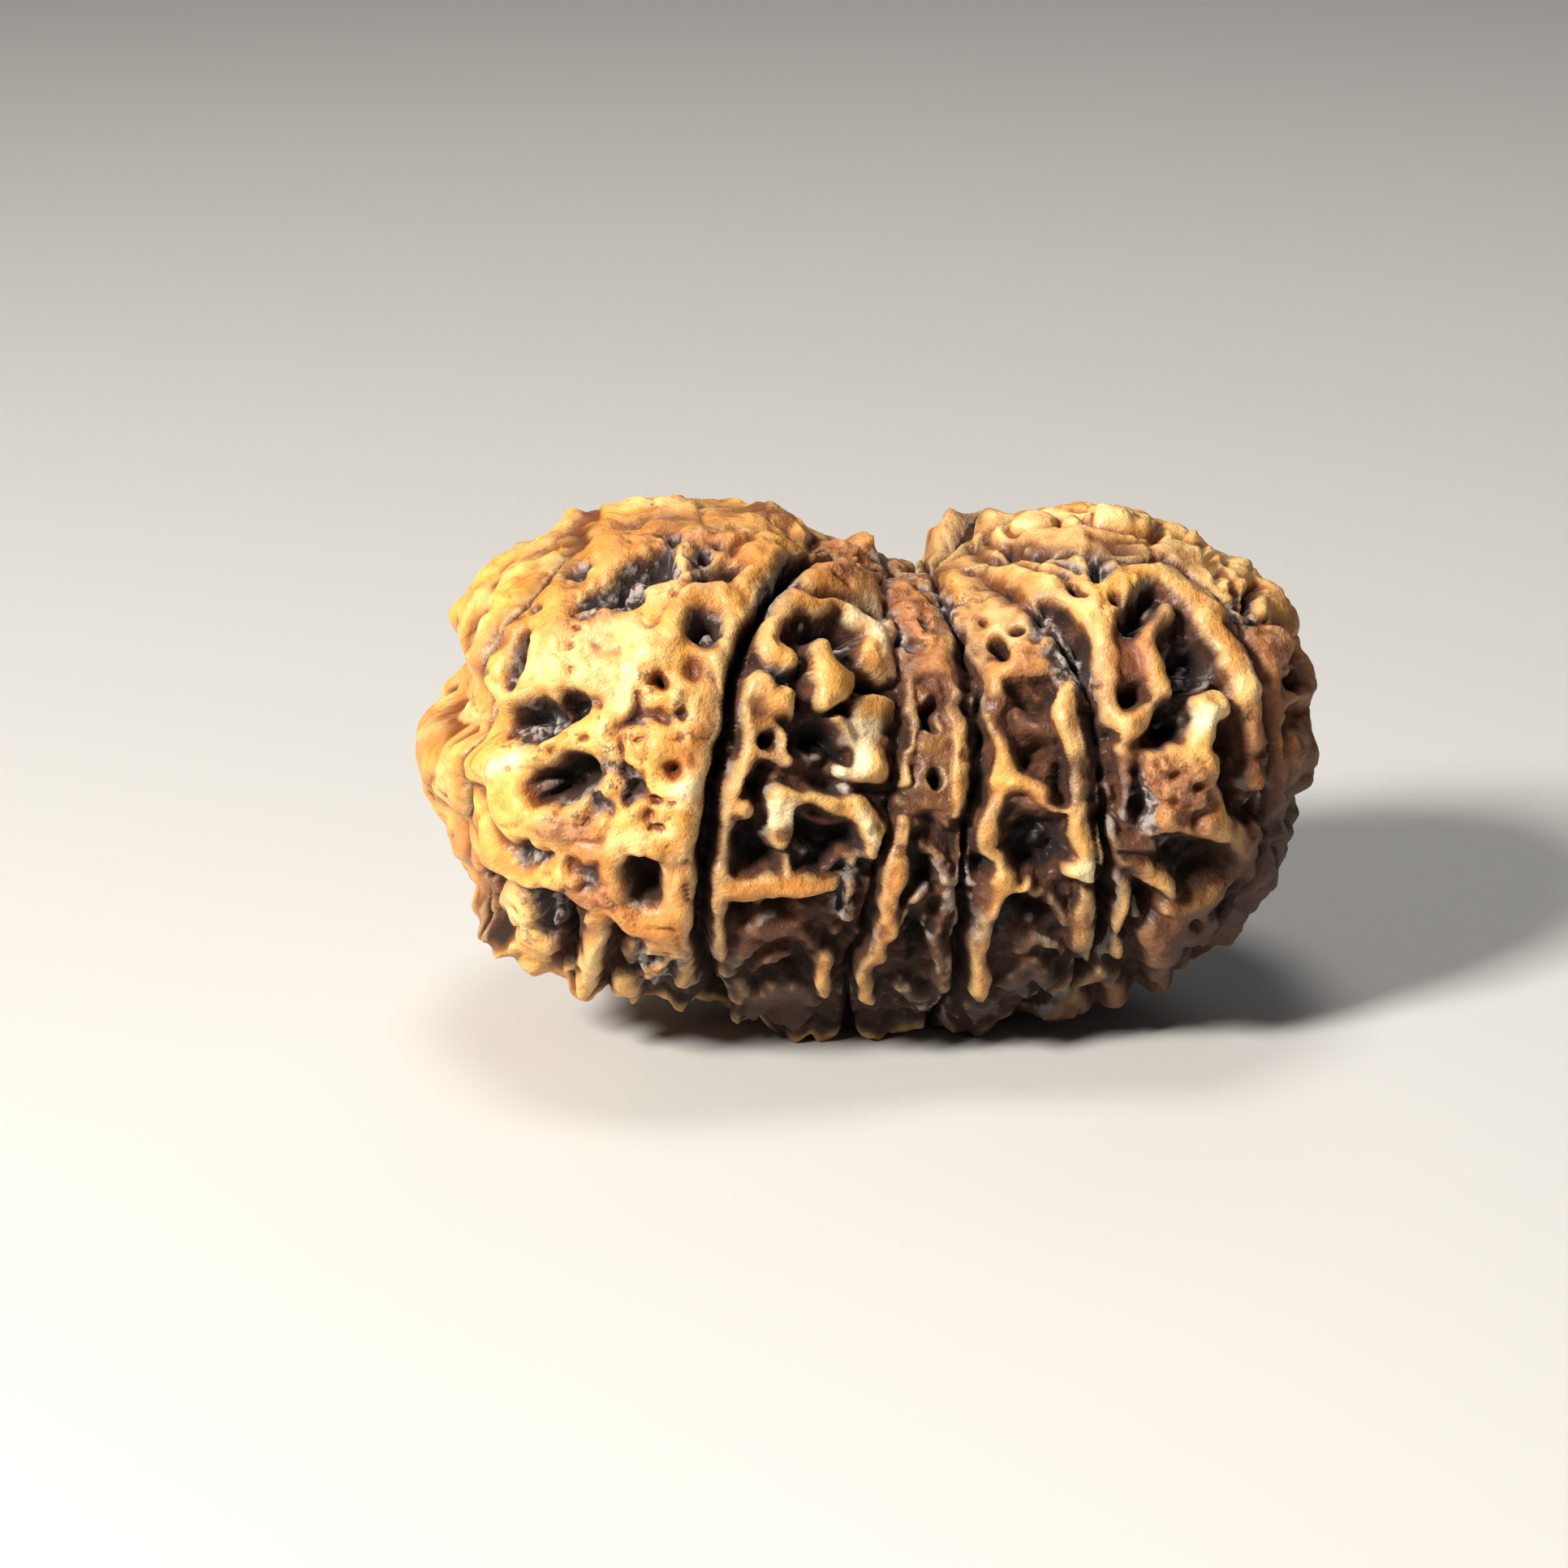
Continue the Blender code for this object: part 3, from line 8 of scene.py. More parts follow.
import bpy
import numpy as np
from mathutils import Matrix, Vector


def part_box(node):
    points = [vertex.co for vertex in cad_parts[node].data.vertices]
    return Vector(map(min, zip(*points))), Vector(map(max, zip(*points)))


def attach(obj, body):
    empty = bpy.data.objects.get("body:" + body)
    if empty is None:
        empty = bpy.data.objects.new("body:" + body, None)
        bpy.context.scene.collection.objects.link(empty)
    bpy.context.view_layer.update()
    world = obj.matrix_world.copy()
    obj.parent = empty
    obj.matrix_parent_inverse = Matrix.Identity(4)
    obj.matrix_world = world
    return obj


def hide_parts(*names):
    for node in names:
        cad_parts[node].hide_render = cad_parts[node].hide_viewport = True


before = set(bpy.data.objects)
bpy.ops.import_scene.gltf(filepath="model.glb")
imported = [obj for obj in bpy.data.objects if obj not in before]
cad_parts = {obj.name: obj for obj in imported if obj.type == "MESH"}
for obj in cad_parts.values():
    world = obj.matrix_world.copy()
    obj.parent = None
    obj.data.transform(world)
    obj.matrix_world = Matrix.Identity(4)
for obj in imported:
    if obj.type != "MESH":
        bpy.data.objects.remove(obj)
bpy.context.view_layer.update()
NODE = "rudraksha_bead"

MM = 0.001
SEED = 11
LATTICE_SIZE = 8192

# The body as it stands: X along the two lobes, Y away from the front, Z up
LEFT_LOBE = {"centre": (-6.6, 0.0, 10.9), "radii": (8.98, 9.7, 8.7), "lean": 0.11, "power": 2.3}
RIGHT_LOBE = {"centre": (7.95, 0.3, 10.4), "radii": (7.95, 9.3, 8.4), "lean": -0.22, "power": 2.3}
KEEL = {"centre": (1.4, -0.2, 8.65), "radii": (13.5, 8.8, 8.7), "lean": 0.0, "power": 2.0}
WAIST_BLEND = 1.2
KEEL_BLEND = 1.6
CORE = np.array([0.9, 0.0, 9.0])
BODY_REACH = 20.0

# The drawing plane: marks on the front are drawn on it in millimetres and fall on the body
TARGET = np.array([0.0, 0.0, 9.9])
EYE_DISTANCE = 160.0
EYE_TURN = np.radians(-8.0)
EYE_RISE = np.radians(18.0)
PLANE_FOOT = 9.42
DRAWN_FROM = -0.04
DRAWN_FULLY = 0.1

# Relief, measured out from the body
GROUND = -1.0
GROUND_WAVE = 0.25
GROUND_ROUGH = 0.16
HOLLOW_FLOOR = -1.75
HOLLOW_WAVE = 0.3
FURROW_FLOOR = -1.8
LOW_SKIN = -0.5
LOW_FLOOR = -1.5
LOW_CUT = 1.4
EDGE_REACH = 0.6
EDGE_DROP = 0.46
EDGE_WANDER = 0.14
EDGE_FRAY = 0.08
WALL_SLOPE = 3.6
FAR = 0.9
JOIN = 0.3
RIM_SAG = 0.3
RIM_REACH = 2.2
SWELL = 0.16
LUMPS = 0.17
BAR_SINK = 0.28
PEBBLE_CREASE = 0.35
PEBBLE_RIM = 1.1
PEBBLE_RIM_WIDTH = 0.16
WOBBLE = 0.16
RAGGED = 0.4

# The net that covers what the drawing plane does not see
NET_CELLS = 380
NET_BAR = 0.34
FILLED_SHARE = 0.36
SHALLOW_SHARE = 0.4
RIM_BAR = 0.3
BACK_FURROWS = (-10.6, -6.0, -1.5, 3.1, 7.7, 12.0)

# Where the furrows meet, the flat spot that the bead rests on, and the mesh
STALK = np.array([1.4, 0.4])
STALK_RISE = 8.0
TIP_HALF_LENGTH = 3.4
REST_CUT = 0.42
WORN_CENTRE = np.array([0.4, 0.1])
WORN_HALF = np.array([4.4, 2.3])
MESH_LEVELS = 8
MESH_STRETCH = np.array([1.28, 1.0, 1.0])
FINE_TRIANGLES = 192000

# How often the searches for points of the body step
RAY_HALVINGS = 34
EYE_STEPS = 90
SETTLE_STEPS = 6

# What the fine mesh adds to the relief
CRUMB_RISE = 0.28
PORE_DEPTH = 0.3
GRAIN_RISE = 0.06
NODULES = 0.08
WRINKLE_DEPTH = 0.15
WRINKLE_STRETCH = np.array([1.7, 1.0, 0.75])
DENT_DEPTH = 0.12

# The spans of what the finish reads off the mesh, and the rounds of blur behind them
HEIGHT_LOW = -2.2
HEIGHT_HIGH = 1.0
RIDGE_SPAN = 3.0
CRUMB_SPAN = 0.7
CRUMB_ROUNDS = 8
RIDGE_ROUNDS = 60
WIDE_ROUNDS = 500

# Colours of the skin, the pits and the crust, with the painted shade and painted highlights among them
GOLD = (0.80, 0.42, 0.09, 1.0)
ORANGE = (0.60, 0.225, 0.045, 1.0)
CREAM = (0.92, 0.66, 0.29, 1.0)
# Painted highlight: the near white of the glints on ridge tops
GLINT_CREAM = (0.95, 0.79, 0.48, 1.0)
BAR_GOLD = (0.58, 0.28, 0.055, 1.0)
# Painted shade: the darker orange of the skin's sides as they fall into the hollows
SIDE_SHADE_ORANGE = (0.44, 0.16, 0.03, 1.0)
OCHRE = (0.74, 0.42, 0.14, 1.0)
# Painted shade: the russet of hollows, creases and pores
CREVICE_SHADE_RUSSET = (0.20, 0.055, 0.014, 1.0)
PINK_BROWN = (0.22, 0.073, 0.033, 1.0)
PINK_PALE = (0.46, 0.21, 0.10, 1.0)
# Painted shade: the dark brown of the bottom and the lower right of the bead
SHADE_BROWN = (0.042, 0.013, 0.0045, 1.0)
RED_BROWN = (0.115, 0.037, 0.015, 1.0)
PIT_BROWN = (0.024, 0.009, 0.004, 1.0)
EARTH_BROWN = (0.095, 0.032, 0.013, 1.0)
# The near black of the hollows' bottoms: partly their own dark colour, partly painted shade
PIT_BLACK = (0.005, 0.003, 0.002, 1.0)
CRUST_DARK = (0.03, 0.022, 0.022, 1.0)
CRUST_GREY = (0.38, 0.34, 0.31, 1.0)

# Noises of the finish: size in millimetres, detail and roughness
PATCHES = (5.0, 2.0, 0.6)
MOTTLE = (1.1, 4.0, 0.65)
FLAKES = (0.6, 4.0, 0.75)
FINE_GRAIN = (0.28, 4.0, 0.7)
COARSE_GRAIN = (0.42, 3.0, 0.6)
FLECKS = (0.45, 3.0, 0.7)
SPECKS = (0.34, 2.0, 0.5)
CLUMPS = (1.2, 2.0, 0.6)
STREWN = (2.4, 2.0, 0.6)

# Depths in millimetres and strengths of the finish's bumps
FINE_BUMP = (0.045, 0.9)
COARSE_BUMP = (0.12, 0.9)
FLAKE_BUMP = (0.12, 0.8)

# The sheen of the skin, and the least roughness of its dull and its browned places
COAT_WEIGHT = 0.1
COAT_ROUGHNESS = 0.25
SPECULAR_LEVEL = 0.38
DULL_ROUGHNESS = 0.95
BROWN_ROUGHNESS = 0.66

# The floor and the sky, in metres
FLOOR_SIDE = 1.6
FLOOR_COLOUR = (0.61, 0.605, 0.59, 1.0)
FLOOR_ROUGHNESS = 0.6
WORLD_COLOUR = (0.9, 0.93, 1.0, 1.0)
WORLD_STRENGTH = 0.03

# Lamps: name, place and side in metres, power in watts, colour
LIGHTS = [
    ("key", (-0.22, -0.17, 0.205), 0.065, 2.25, (1.0, 0.95, 0.88)),
    ("fill", (0.30, -0.20, 0.14), 0.30, 0.02, (0.92, 0.96, 1.0)),
    ("top", (-0.02, 0.02, 0.34), 0.10, 0.42, (1.0, 0.97, 0.93)),
    ("rim", (0.10, 0.26, 0.22), 0.20, 0.10, (1.0, 0.98, 0.95)),
]
LIGHT_TARGET = (0.0, 0.0, 0.008)

# The camera: what it frames in millimetres, its sensor in millimetres, its near end in metres
FRAME_WIDTH = 56.82
FRAME_CENTRE = (-2.94, -0.685)
SENSOR_WIDTH = 36.0
CLIP_START = 0.005


def stroke(half_width, *points):
    """A bar or groove along a smooth path. A pair of half-widths makes it taper."""
    return ("stroke", half_width, points)


def oval(across, up, half_wide, half_high, tilt=0.0):
    return ("oval", (across, up), (half_wide, half_high), tilt)


def sheet(*outline):
    return ("sheet", outline)


# Furrows of the front, stalk end first: half-widths at both ends, then the way down
FURROWS = [
    ((0.14, 0.16), (-2.4, 17.9), (-5.2, 18.4), (-7.5, 18.7), (-9.0, 18.3), (-10.4, 17.6), (-11.7, 16.5),
     (-12.6, 15.3), (-13.7, 14.1), (-14.4, 12.8), (-14.7, 11.2), (-14.8, 9.5), (-14.7, 8.0), (-14.7, 6.3)),
    ((0.26, 0.42), (-1.7, 17.2), (-2.7, 16.7), (-3.9, 15.2), (-4.5, 13.4), (-4.85, 11.4), (-5.2, 9.4),
     (-5.55, 7.4), (-5.75, 5.2), (-5.85, 3.0), (-5.6, 1.0), (-5.4, 0.2)),
    ((0.03, 0.32), (0.7, 16.4), (1.1, 15.3), (1.4, 13.6), (1.5, 12.2), (1.5, 10.7), (1.25, 9.0), (1.0, 7.2),
     (0.6, 5.6), (0.25, 4.0), (0.0, 2.5), (-0.5, 1.5), (-0.7, 0.5)),
    ((0.03, 0.42), (1.9, 17.3), (2.6, 15.9), (3.2, 14.3), (3.9, 12.6), (4.0, 10.8), (4.15, 9.0), (3.9, 7.0),
     (3.8, 4.5), (3.75, 2.5), (3.4, 0.6)),
    ((0.03, 0.4), (3.3, 17.1), (4.6, 16.3), (5.9, 15.3), (6.9, 14.3), (7.9, 12.7), (8.35, 11.0),
     (8.65, 9.5), (8.75, 7.5), (8.9, 5.0), (8.8, 3.5), (8.6, 2.4)),
    ((0.12, 0.16), (9.0, 17.35), (10.8, 17.2), (12.1, 16.5), (13.5, 15.1), (14.3, 13.7), (14.8, 12.0),
     (15.1, 10.2), (15.0, 8.2), (14.8, 6.4), (14.2, 5.0), (13.0, 3.4)),
]

# Skin of the front that is nearly whole
PLATES = [
    sheet((-18.0, 6.4), (-15.6, 5.5), (-14.3, 5.4), (-13.0, 4.9), (-11.2, 4.6), (-10.2, 4.1), (-9.2, 3.7),
          (-8.0, 2.7), (-6.9, 1.9), (-5.6, 1.7), (-5.2, 8.0), (-4.6, 13.0), (-3.2, 16.4), (-1.9, 17.4),
          (-1.0, 21.0), (-18.0, 21.0)),
    sheet((-0.5, 19.2), (-2.2, 16.7), (-2.1, 16.3), (-1.2, 16.05), (-0.2, 15.75), (0.8, 15.5), (0.9, 16.4),
          (0.4, 19.2)),
    sheet((0.5, 18.8), (0.8, 16.2), (1.3, 12.9), (3.4, 12.6), (3.2, 14.4), (2.4, 16.4), (1.9, 18.8)),
    sheet((2.1, 17.2), (3.1, 14.8), (3.9, 13.0), (4.6, 12.6), (6.2, 13.1), (6.3, 14.2), (6.0, 15.2),
          (6.3, 15.6), (7.3, 15.4), (8.4, 14.2), (9.3, 14.8), (10.0, 16.4), (12.0, 16.0), (12.6, 17.4),
          (12.0, 21.0), (2.0, 21.0)),
    sheet((11.6, 16.9), (13.6, 14.9), (14.4, 13.2), (15.0, 11.0), (15.1, 9.0), (14.9, 7.0), (14.2, 5.2),
          (13.0, 3.1), (18.0, 2.0), (18.0, 21.0), (12.0, 21.0)),
    sheet((10.1, 10.1), (11.0, 9.9), (12.3, 10.5), (13.1, 9.8), (12.9, 8.3), (14.0, 6.8), (14.2, 6.2),
          (11.6, 6.7), (10.4, 6.5), (10.4, 7.2), (10.2, 8.6)),
]

# Bars, pegs and knobs of the front, up to the full height of the skin
RAISED = [
    # lower left: teeth, plate edge and blocks
    stroke(0.3, (-14.3, 4.9), (-13.9, 3.4)),
    stroke((0.6, 0.45), (-13.1, 4.4), (-12.5, 3.6), (-12.0, 2.4)),
    stroke(0.16, (-12.4, 1.9), (-11.5, 1.5), (-10.7, 1.6)),
    stroke(0.4, (-9.8, 3.4), (-9.95, 2.4), (-10.1, 1.3)),
    stroke(0.26, (-9.3, 3.9), (-8.4, 3.3), (-7.6, 2.6)), oval(-7.4, 1.9, 0.8, 0.75),
    oval(-6.5, 1.3, 0.5, 0.55), oval(-8.7, 1.0, 0.5, 0.4),
    # left segment of the middle: ring, tongue, blobs, pillar and crossbar
    stroke((0.4, 0.52), (-1.7, 16.0), (-2.5, 15.7), (-3.1, 15.1), (-3.4, 14.3), (-3.2, 13.7)),
    oval(-2.75, 13.4, 0.6, 0.45, -20.0),
    stroke((0.3, 0.6), (-1.7, 15.7), (-0.7, 15.4), (0.1, 15.0), (0.6, 14.4), (0.75, 13.8), (0.7, 13.2)),
    stroke((0.4, 0.68), (-1.35, 13.9), (-1.3, 13.2), (-1.0, 12.5)),
    stroke(0.42, (-1.0, 12.5), (-1.3, 11.8)), stroke(0.4, (-0.8, 12.7), (-0.2, 12.6)),
    oval(-3.7, 12.3, 0.6, 0.7), oval(-3.0, 11.7, 0.7, 0.55, -15.0),
    stroke(0.32, (-3.9, 12.4), (-4.15, 11.3), (-4.1, 10.5), (-4.2, 9.8), (-4.5, 9.0), (-4.85, 7.9),
           (-5.0, 6.5), (-5.15, 5.0), (-5.25, 3.5), (-5.35, 2.2)),
    oval(-3.45, 10.35, 0.75, 0.78), stroke(0.26, (-3.2, 9.8), (-2.7, 9.6)), oval(-4.45, 7.7, 0.42, 0.5),
    stroke((0.36, 0.42), (-2.9, 8.1), (-2.95, 7.3), (-2.9, 6.6)),
    stroke(0.32, (-2.8, 8.2), (-1.8, 8.2), (-0.8, 7.95)),
    stroke(0.16, (-0.8, 11.1), (-0.3, 10.7), (0.0, 10.3)),
    stroke((0.72, 0.6), (0.5, 11.6), (0.6, 10.6), (0.6, 9.4)),
    stroke((0.3, 0.2), (0.5, 9.1), (-0.1, 8.95), (-0.7, 9.1)),
    stroke((0.52, 0.34), (-0.2, 7.9), (0.25, 7.2), (0.5, 6.3)),
    stroke((0.46, 0.3), (-5.0, 4.6), (-4.0, 4.65), (-3.0, 4.85), (-2.0, 4.8), (-0.9, 4.9)),
    stroke(0.14, (-2.6, 5.1), (-2.6, 5.9)), stroke(0.28, (-0.4, 4.8), (-0.5, 3.6)),
    stroke(0.3, (-1.4, 1.7), (-1.45, 1.1), (-1.55, 0.5)), oval(-4.6, 0.8, 0.45, 0.5),
    # neck: two rims, the wavy ridge and the arc beside it
    stroke(0.2, (1.95, 13.0), (1.75, 12.0), (1.85, 11.0), (1.7, 10.0), (1.6, 8.9)),
    stroke((0.34, 0.22), (3.2, 12.9), (3.3, 11.6), (3.45, 10.0), (3.5, 9.0), (3.4, 7.7)),
    stroke(0.28, (1.4, 7.2), (1.35, 6.3), (1.1, 5.2), (0.75, 4.2), (0.85, 3.2), (0.6, 2.2), (0.1, 1.5),
           (0.15, 0.7)),
    # right segment by the neck: arch, both rims and crossings
    stroke(0.42, (4.5, 13.0), (5.3, 13.3), (6.2, 13.4), (6.8, 14.0)),
    stroke((0.36, 0.3), (4.5, 12.9), (4.55, 12.0), (4.6, 10.9), (4.95, 9.6), (5.0, 8.8), (4.6, 7.6),
           (4.65, 6.3), (5.1, 5.0), (4.7, 4.0), (4.4, 3.0), (4.35, 1.8), (4.2, 0.9)),
    stroke((0.4, 0.36), (6.6, 13.7), (7.2, 12.6), (7.15, 11.3), (7.6, 10.1), (8.0, 9.0), (7.75, 8.1),
           (7.85, 6.8), (8.15, 6.0), (8.2, 5.2), (8.15, 3.9), (7.95, 2.6)),
    oval(7.75, 5.4, 0.45, 0.42), stroke((0.5, 0.34), (5.1, 8.8), (5.7, 8.7), (6.4, 8.4)),
    stroke(0.2, (6.4, 8.1), (7.1, 7.7), (7.7, 7.9)), stroke(0.22, (5.1, 4.9), (5.6, 4.75), (6.1, 4.9)),
    stroke(0.3, (8.3, 2.2), (8.4, 1.4), (7.6, 0.8), (7.1, 0.3)),
    # right segment: hooked band, finger, rims and knobs
    stroke((0.4, 0.5), (4.6, 16.8), (5.9, 16.5), (7.2, 15.8), (8.2, 14.9), (8.6, 13.7), (8.75, 12.5),
           (9.1, 11.3), (9.6, 10.8)),
    stroke(0.4, (9.5, 10.9), (10.3, 11.3)),
    stroke((0.46, 0.42), (10.95, 15.2), (10.6, 14.8), (10.2, 14.1), (10.45, 13.2), (10.95, 12.0)),
    stroke((0.44, 0.56), (9.9, 17.0), (11.2, 16.6), (12.3, 15.7), (13.2, 14.5), (13.8, 13.4),
           (14.0, 12.4)),
    stroke((0.6, 0.45), (12.7, 11.8), (12.9, 11.3), (12.3, 10.6)),
    stroke(0.4, (14.3, 11.6), (14.5, 10.3), (14.6, 9.4), (14.6, 8.9)),
    stroke(0.38, (13.0, 8.4), (13.4, 7.4), (14.1, 6.7), (14.5, 7.1)),
    stroke((0.42, 0.16), (9.5, 9.9), (9.4, 9.1), (9.6, 8.3), (9.6, 7.6)),
    stroke(0.3, (9.5, 5.8), (10.2, 5.5), (11.2, 4.8)),
    stroke(0.26, (9.5, 5.2), (9.6, 4.2), (9.4, 3.2), (9.2, 2.5)),
    stroke(0.36, (14.1, 6.4), (13.7, 5.4), (12.9, 4.7), (11.8, 4.1), (11.2, 3.9)),
    oval(12.1, 3.4, 0.9, 0.65), stroke((0.75, 0.4), (10.8, 2.8), (10.8, 1.5)), oval(9.1, 1.1, 0.45, 0.45),
]

# Strands, lumps and lower skin between the bars
SUNKEN = [
    stroke(0.4, (-5.0, 1.4), (-4.3, 2.4), (-3.4, 3.0), (-2.4, 2.9), (-1.8, 2.2)),
    stroke(0.2, (-4.2, 1.1), (-3.4, 1.9), (-2.6, 1.9)), oval(-3.0, 0.3, 1.5, 0.75),
    stroke(0.16, (-1.3, 5.3), (-0.8, 5.8), (-0.2, 6.0), (0.4, 6.0)),
    stroke(0.14, (-0.6, 5.9), (-0.1, 5.4)), oval(-0.9, 2.8, 0.25, 0.25), oval(-0.3, 8.5, 0.45, 0.35),
    oval(0.3, 2.3, 0.4, 0.5), stroke(0.22, (1.2, 3.2), (1.4, 3.8), (1.7, 4.2), (2.2, 4.6)),
    stroke(0.3, (2.1, 6.5), (2.8, 5.9), (3.2, 5.0), (3.1, 3.8), (2.7, 2.6)),
    stroke(0.38, (2.7, 2.4), (3.1, 1.5), (2.8, 0.8)), stroke(0.3, (1.3, 0.9), (2.2, 0.3)),
    oval(1.9, 8.0, 0.9, 0.5), stroke(0.2, (3.9, 7.0), (3.75, 6.0), (3.7, 5.0), (3.8, 4.7)),
    stroke(0.45, (5.3, 11.2), (5.9, 10.9), (6.6, 10.7)), stroke(0.4, (5.4, 8.2), (6.0, 7.9)),
    stroke(0.32, (6.1, 4.7), (6.8, 4.3), (7.3, 3.6), (7.8, 3.0)),
    stroke(0.3, (5.8, 2.3), (6.4, 2.6), (7.2, 2.4), (7.9, 2.5)), stroke(0.4, (6.2, 1.7), (6.8, 1.2)),
    oval(4.4, 0.2, 0.8, 0.6), oval(5.6, 1.0, 0.7, 0.5), oval(9.0, 6.4, 0.6, 0.9),
    oval(10.1, 3.55, 0.3, 0.3), oval(-10.0, 7.7, 0.6, 0.45, 30.0), oval(-5.75, 14.4, 0.3, 0.28),
    oval(-13.0, 10.5, 0.75, 0.45, 15.0), oval(-11.5, 10.75, 0.45, 0.3, 20.0),
    stroke(0.3, (-12.0, 9.9), (-11.1, 10.15), (-10.0, 10.4)), oval(-10.2, 15.3, 0.6, 0.35, 25.0),
    oval(-8.3, 16.1, 0.6, 0.4, 25.0), oval(-12.4, 8.4, 0.5, 0.35, 20.0), oval(-8.3, 2.2, 0.7, 0.5),
    sheet((1.6, 13.4), (3.4, 13.4), (3.7, 8.0), (3.3, 7.0), (1.5, 8.4)),
    oval(9.5, 13.6, 0.85, 1.3, 10.0), oval(9.7, 10.3, 0.5, 0.7), oval(9.9, 6.2, 0.9, 0.7),
    oval(12.4, 12.6, 0.5, 0.4), oval(13.4, 9.3, 0.22, 0.8),
]

# Dark hollows between the bars of the front, where the ground drops away
HOLLOWS = [
    oval(-10.95, 2.9, 0.4, 1.0), oval(-8.9, 2.3, 0.35, 0.8), oval(-12.6, 4.9, 1.4, 0.3, -15.0),
    oval(-0.8, 14.5, 1.0, 0.5, -15.0), stroke(0.28, (-3.1, 12.8), (-2.1, 12.5)),
    stroke((0.3, 0.6), (-3.8, 9.4), (-3.8, 8.4), (-3.8, 7.2)), oval(-3.5, 6.0, 0.9, 0.7),
    oval(-1.2, 10.2, 0.85, 0.9), oval(-1.2, 6.7, 1.1, 0.85), oval(-3.6, 3.6, 1.2, 0.5),
    oval(-2.9, 1.6, 0.9, 0.45), oval(2.45, 11.5, 0.45, 0.8), oval(2.4, 9.15, 0.45, 0.65),
    oval(2.2, 5.4, 0.45, 0.7), oval(1.8, 2.6, 0.5, 0.8), oval(5.4, 12.2, 0.45, 0.5),
    oval(5.9, 9.8, 0.5, 0.4), oval(7.0, 9.0, 0.4, 0.5), oval(6.3, 6.4, 1.25, 1.2),
    oval(6.0, 3.7, 0.9, 0.6), oval(7.4, 1.9, 0.3, 0.4), oval(12.0, 13.3, 0.95, 1.0),
    oval(11.2, 11.1, 0.75, 0.75), stroke(0.34, (13.5, 10.9), (13.7, 9.8), (13.5, 8.8), (14.0, 7.9)),
    oval(12.5, 5.7, 1.3, 0.75), oval(10.2, 7.7, 0.4, 0.42), oval(10.6, 4.0, 0.6, 0.5),
    oval(9.8, 12.3, 0.5, 0.5),
]

# Pits and slots through the skin of the front
PITS = [
    stroke((0.36, 0.66), (-10.5, 15.2), (-9.5, 15.9), (-8.3, 16.5), (-7.5, 16.8)),
    oval(-8.8, 15.6, 0.6, 0.4), stroke(0.24, (-12.5, 14.1), (-12.9, 13.2), (-13.1, 12.4)),
    oval(-12.1, 15.2, 0.32, 0.18), oval(-10.5, 16.6, 0.45, 0.24, 30.0), oval(-7.0, 17.9, 0.24, 0.2),
    oval(-5.9, 17.3, 0.3, 0.22), oval(-5.3, 17.7, 0.16, 0.14), stroke(0.2, (-6.0, 16.5), (-4.6, 16.8)),
    oval(-5.85, 14.65, 0.76, 0.64), oval(-7.4, 12.6, 0.16, 0.28, 20.0),
    oval(-12.45, 10.95, 1.35, 0.85, 10.0), oval(-10.75, 11.4, 0.62, 0.8, -20.0),
    oval(-11.15, 8.75, 1.5, 0.9, 20.0), oval(-12.3, 6.0, 0.52, 0.34, -25.0),
    oval(-8.05, 4.95, 1.15, 0.76, -55.0), oval(-7.6, 1.9, 0.26, 0.22), oval(-6.9, 1.5, 0.16, 0.18),
    oval(-0.75, 14.6, 1.1, 0.55, -15.0), stroke(0.14, (-1.95, 13.6), (-2.0, 12.9)),
    oval(-0.4, 13.4, 0.16, 0.14), oval(-2.1, 12.1, 0.16, 0.5), stroke(0.24, (0.2, 12.6), (0.9, 12.6)),
    oval(-3.45, 10.35, 0.4, 0.38), oval(4.1, 14.9, 0.26, 0.24), oval(4.7, 13.9, 0.32, 0.4),
    oval(5.4, 14.5, 0.16, 0.14), oval(9.8, 12.3, 0.6, 0.56),
    stroke((0.26, 0.3), (10.4, 16.1), (9.9, 15.5), (9.6, 14.7)), oval(9.05, 15.7, 0.18, 0.16),
    oval(8.4, 16.95, 0.24, 0.4), oval(7.5, 16.05, 0.5, 0.28, -30.0), oval(12.0, 13.3, 1.0, 1.1),
    oval(11.2, 11.1, 0.8, 0.8), stroke(0.42, (13.5, 10.9), (13.7, 9.8), (13.5, 8.8), (14.0, 7.9)),
    oval(12.5, 5.7, 1.35, 0.85), oval(10.1, 7.7, 0.5, 0.5), oval(14.0, 15.6, 0.26, 0.5),
    oval(15.7, 12.6, 0.28, 0.4), oval(12.1, 3.6, 0.24, 0.2),
]

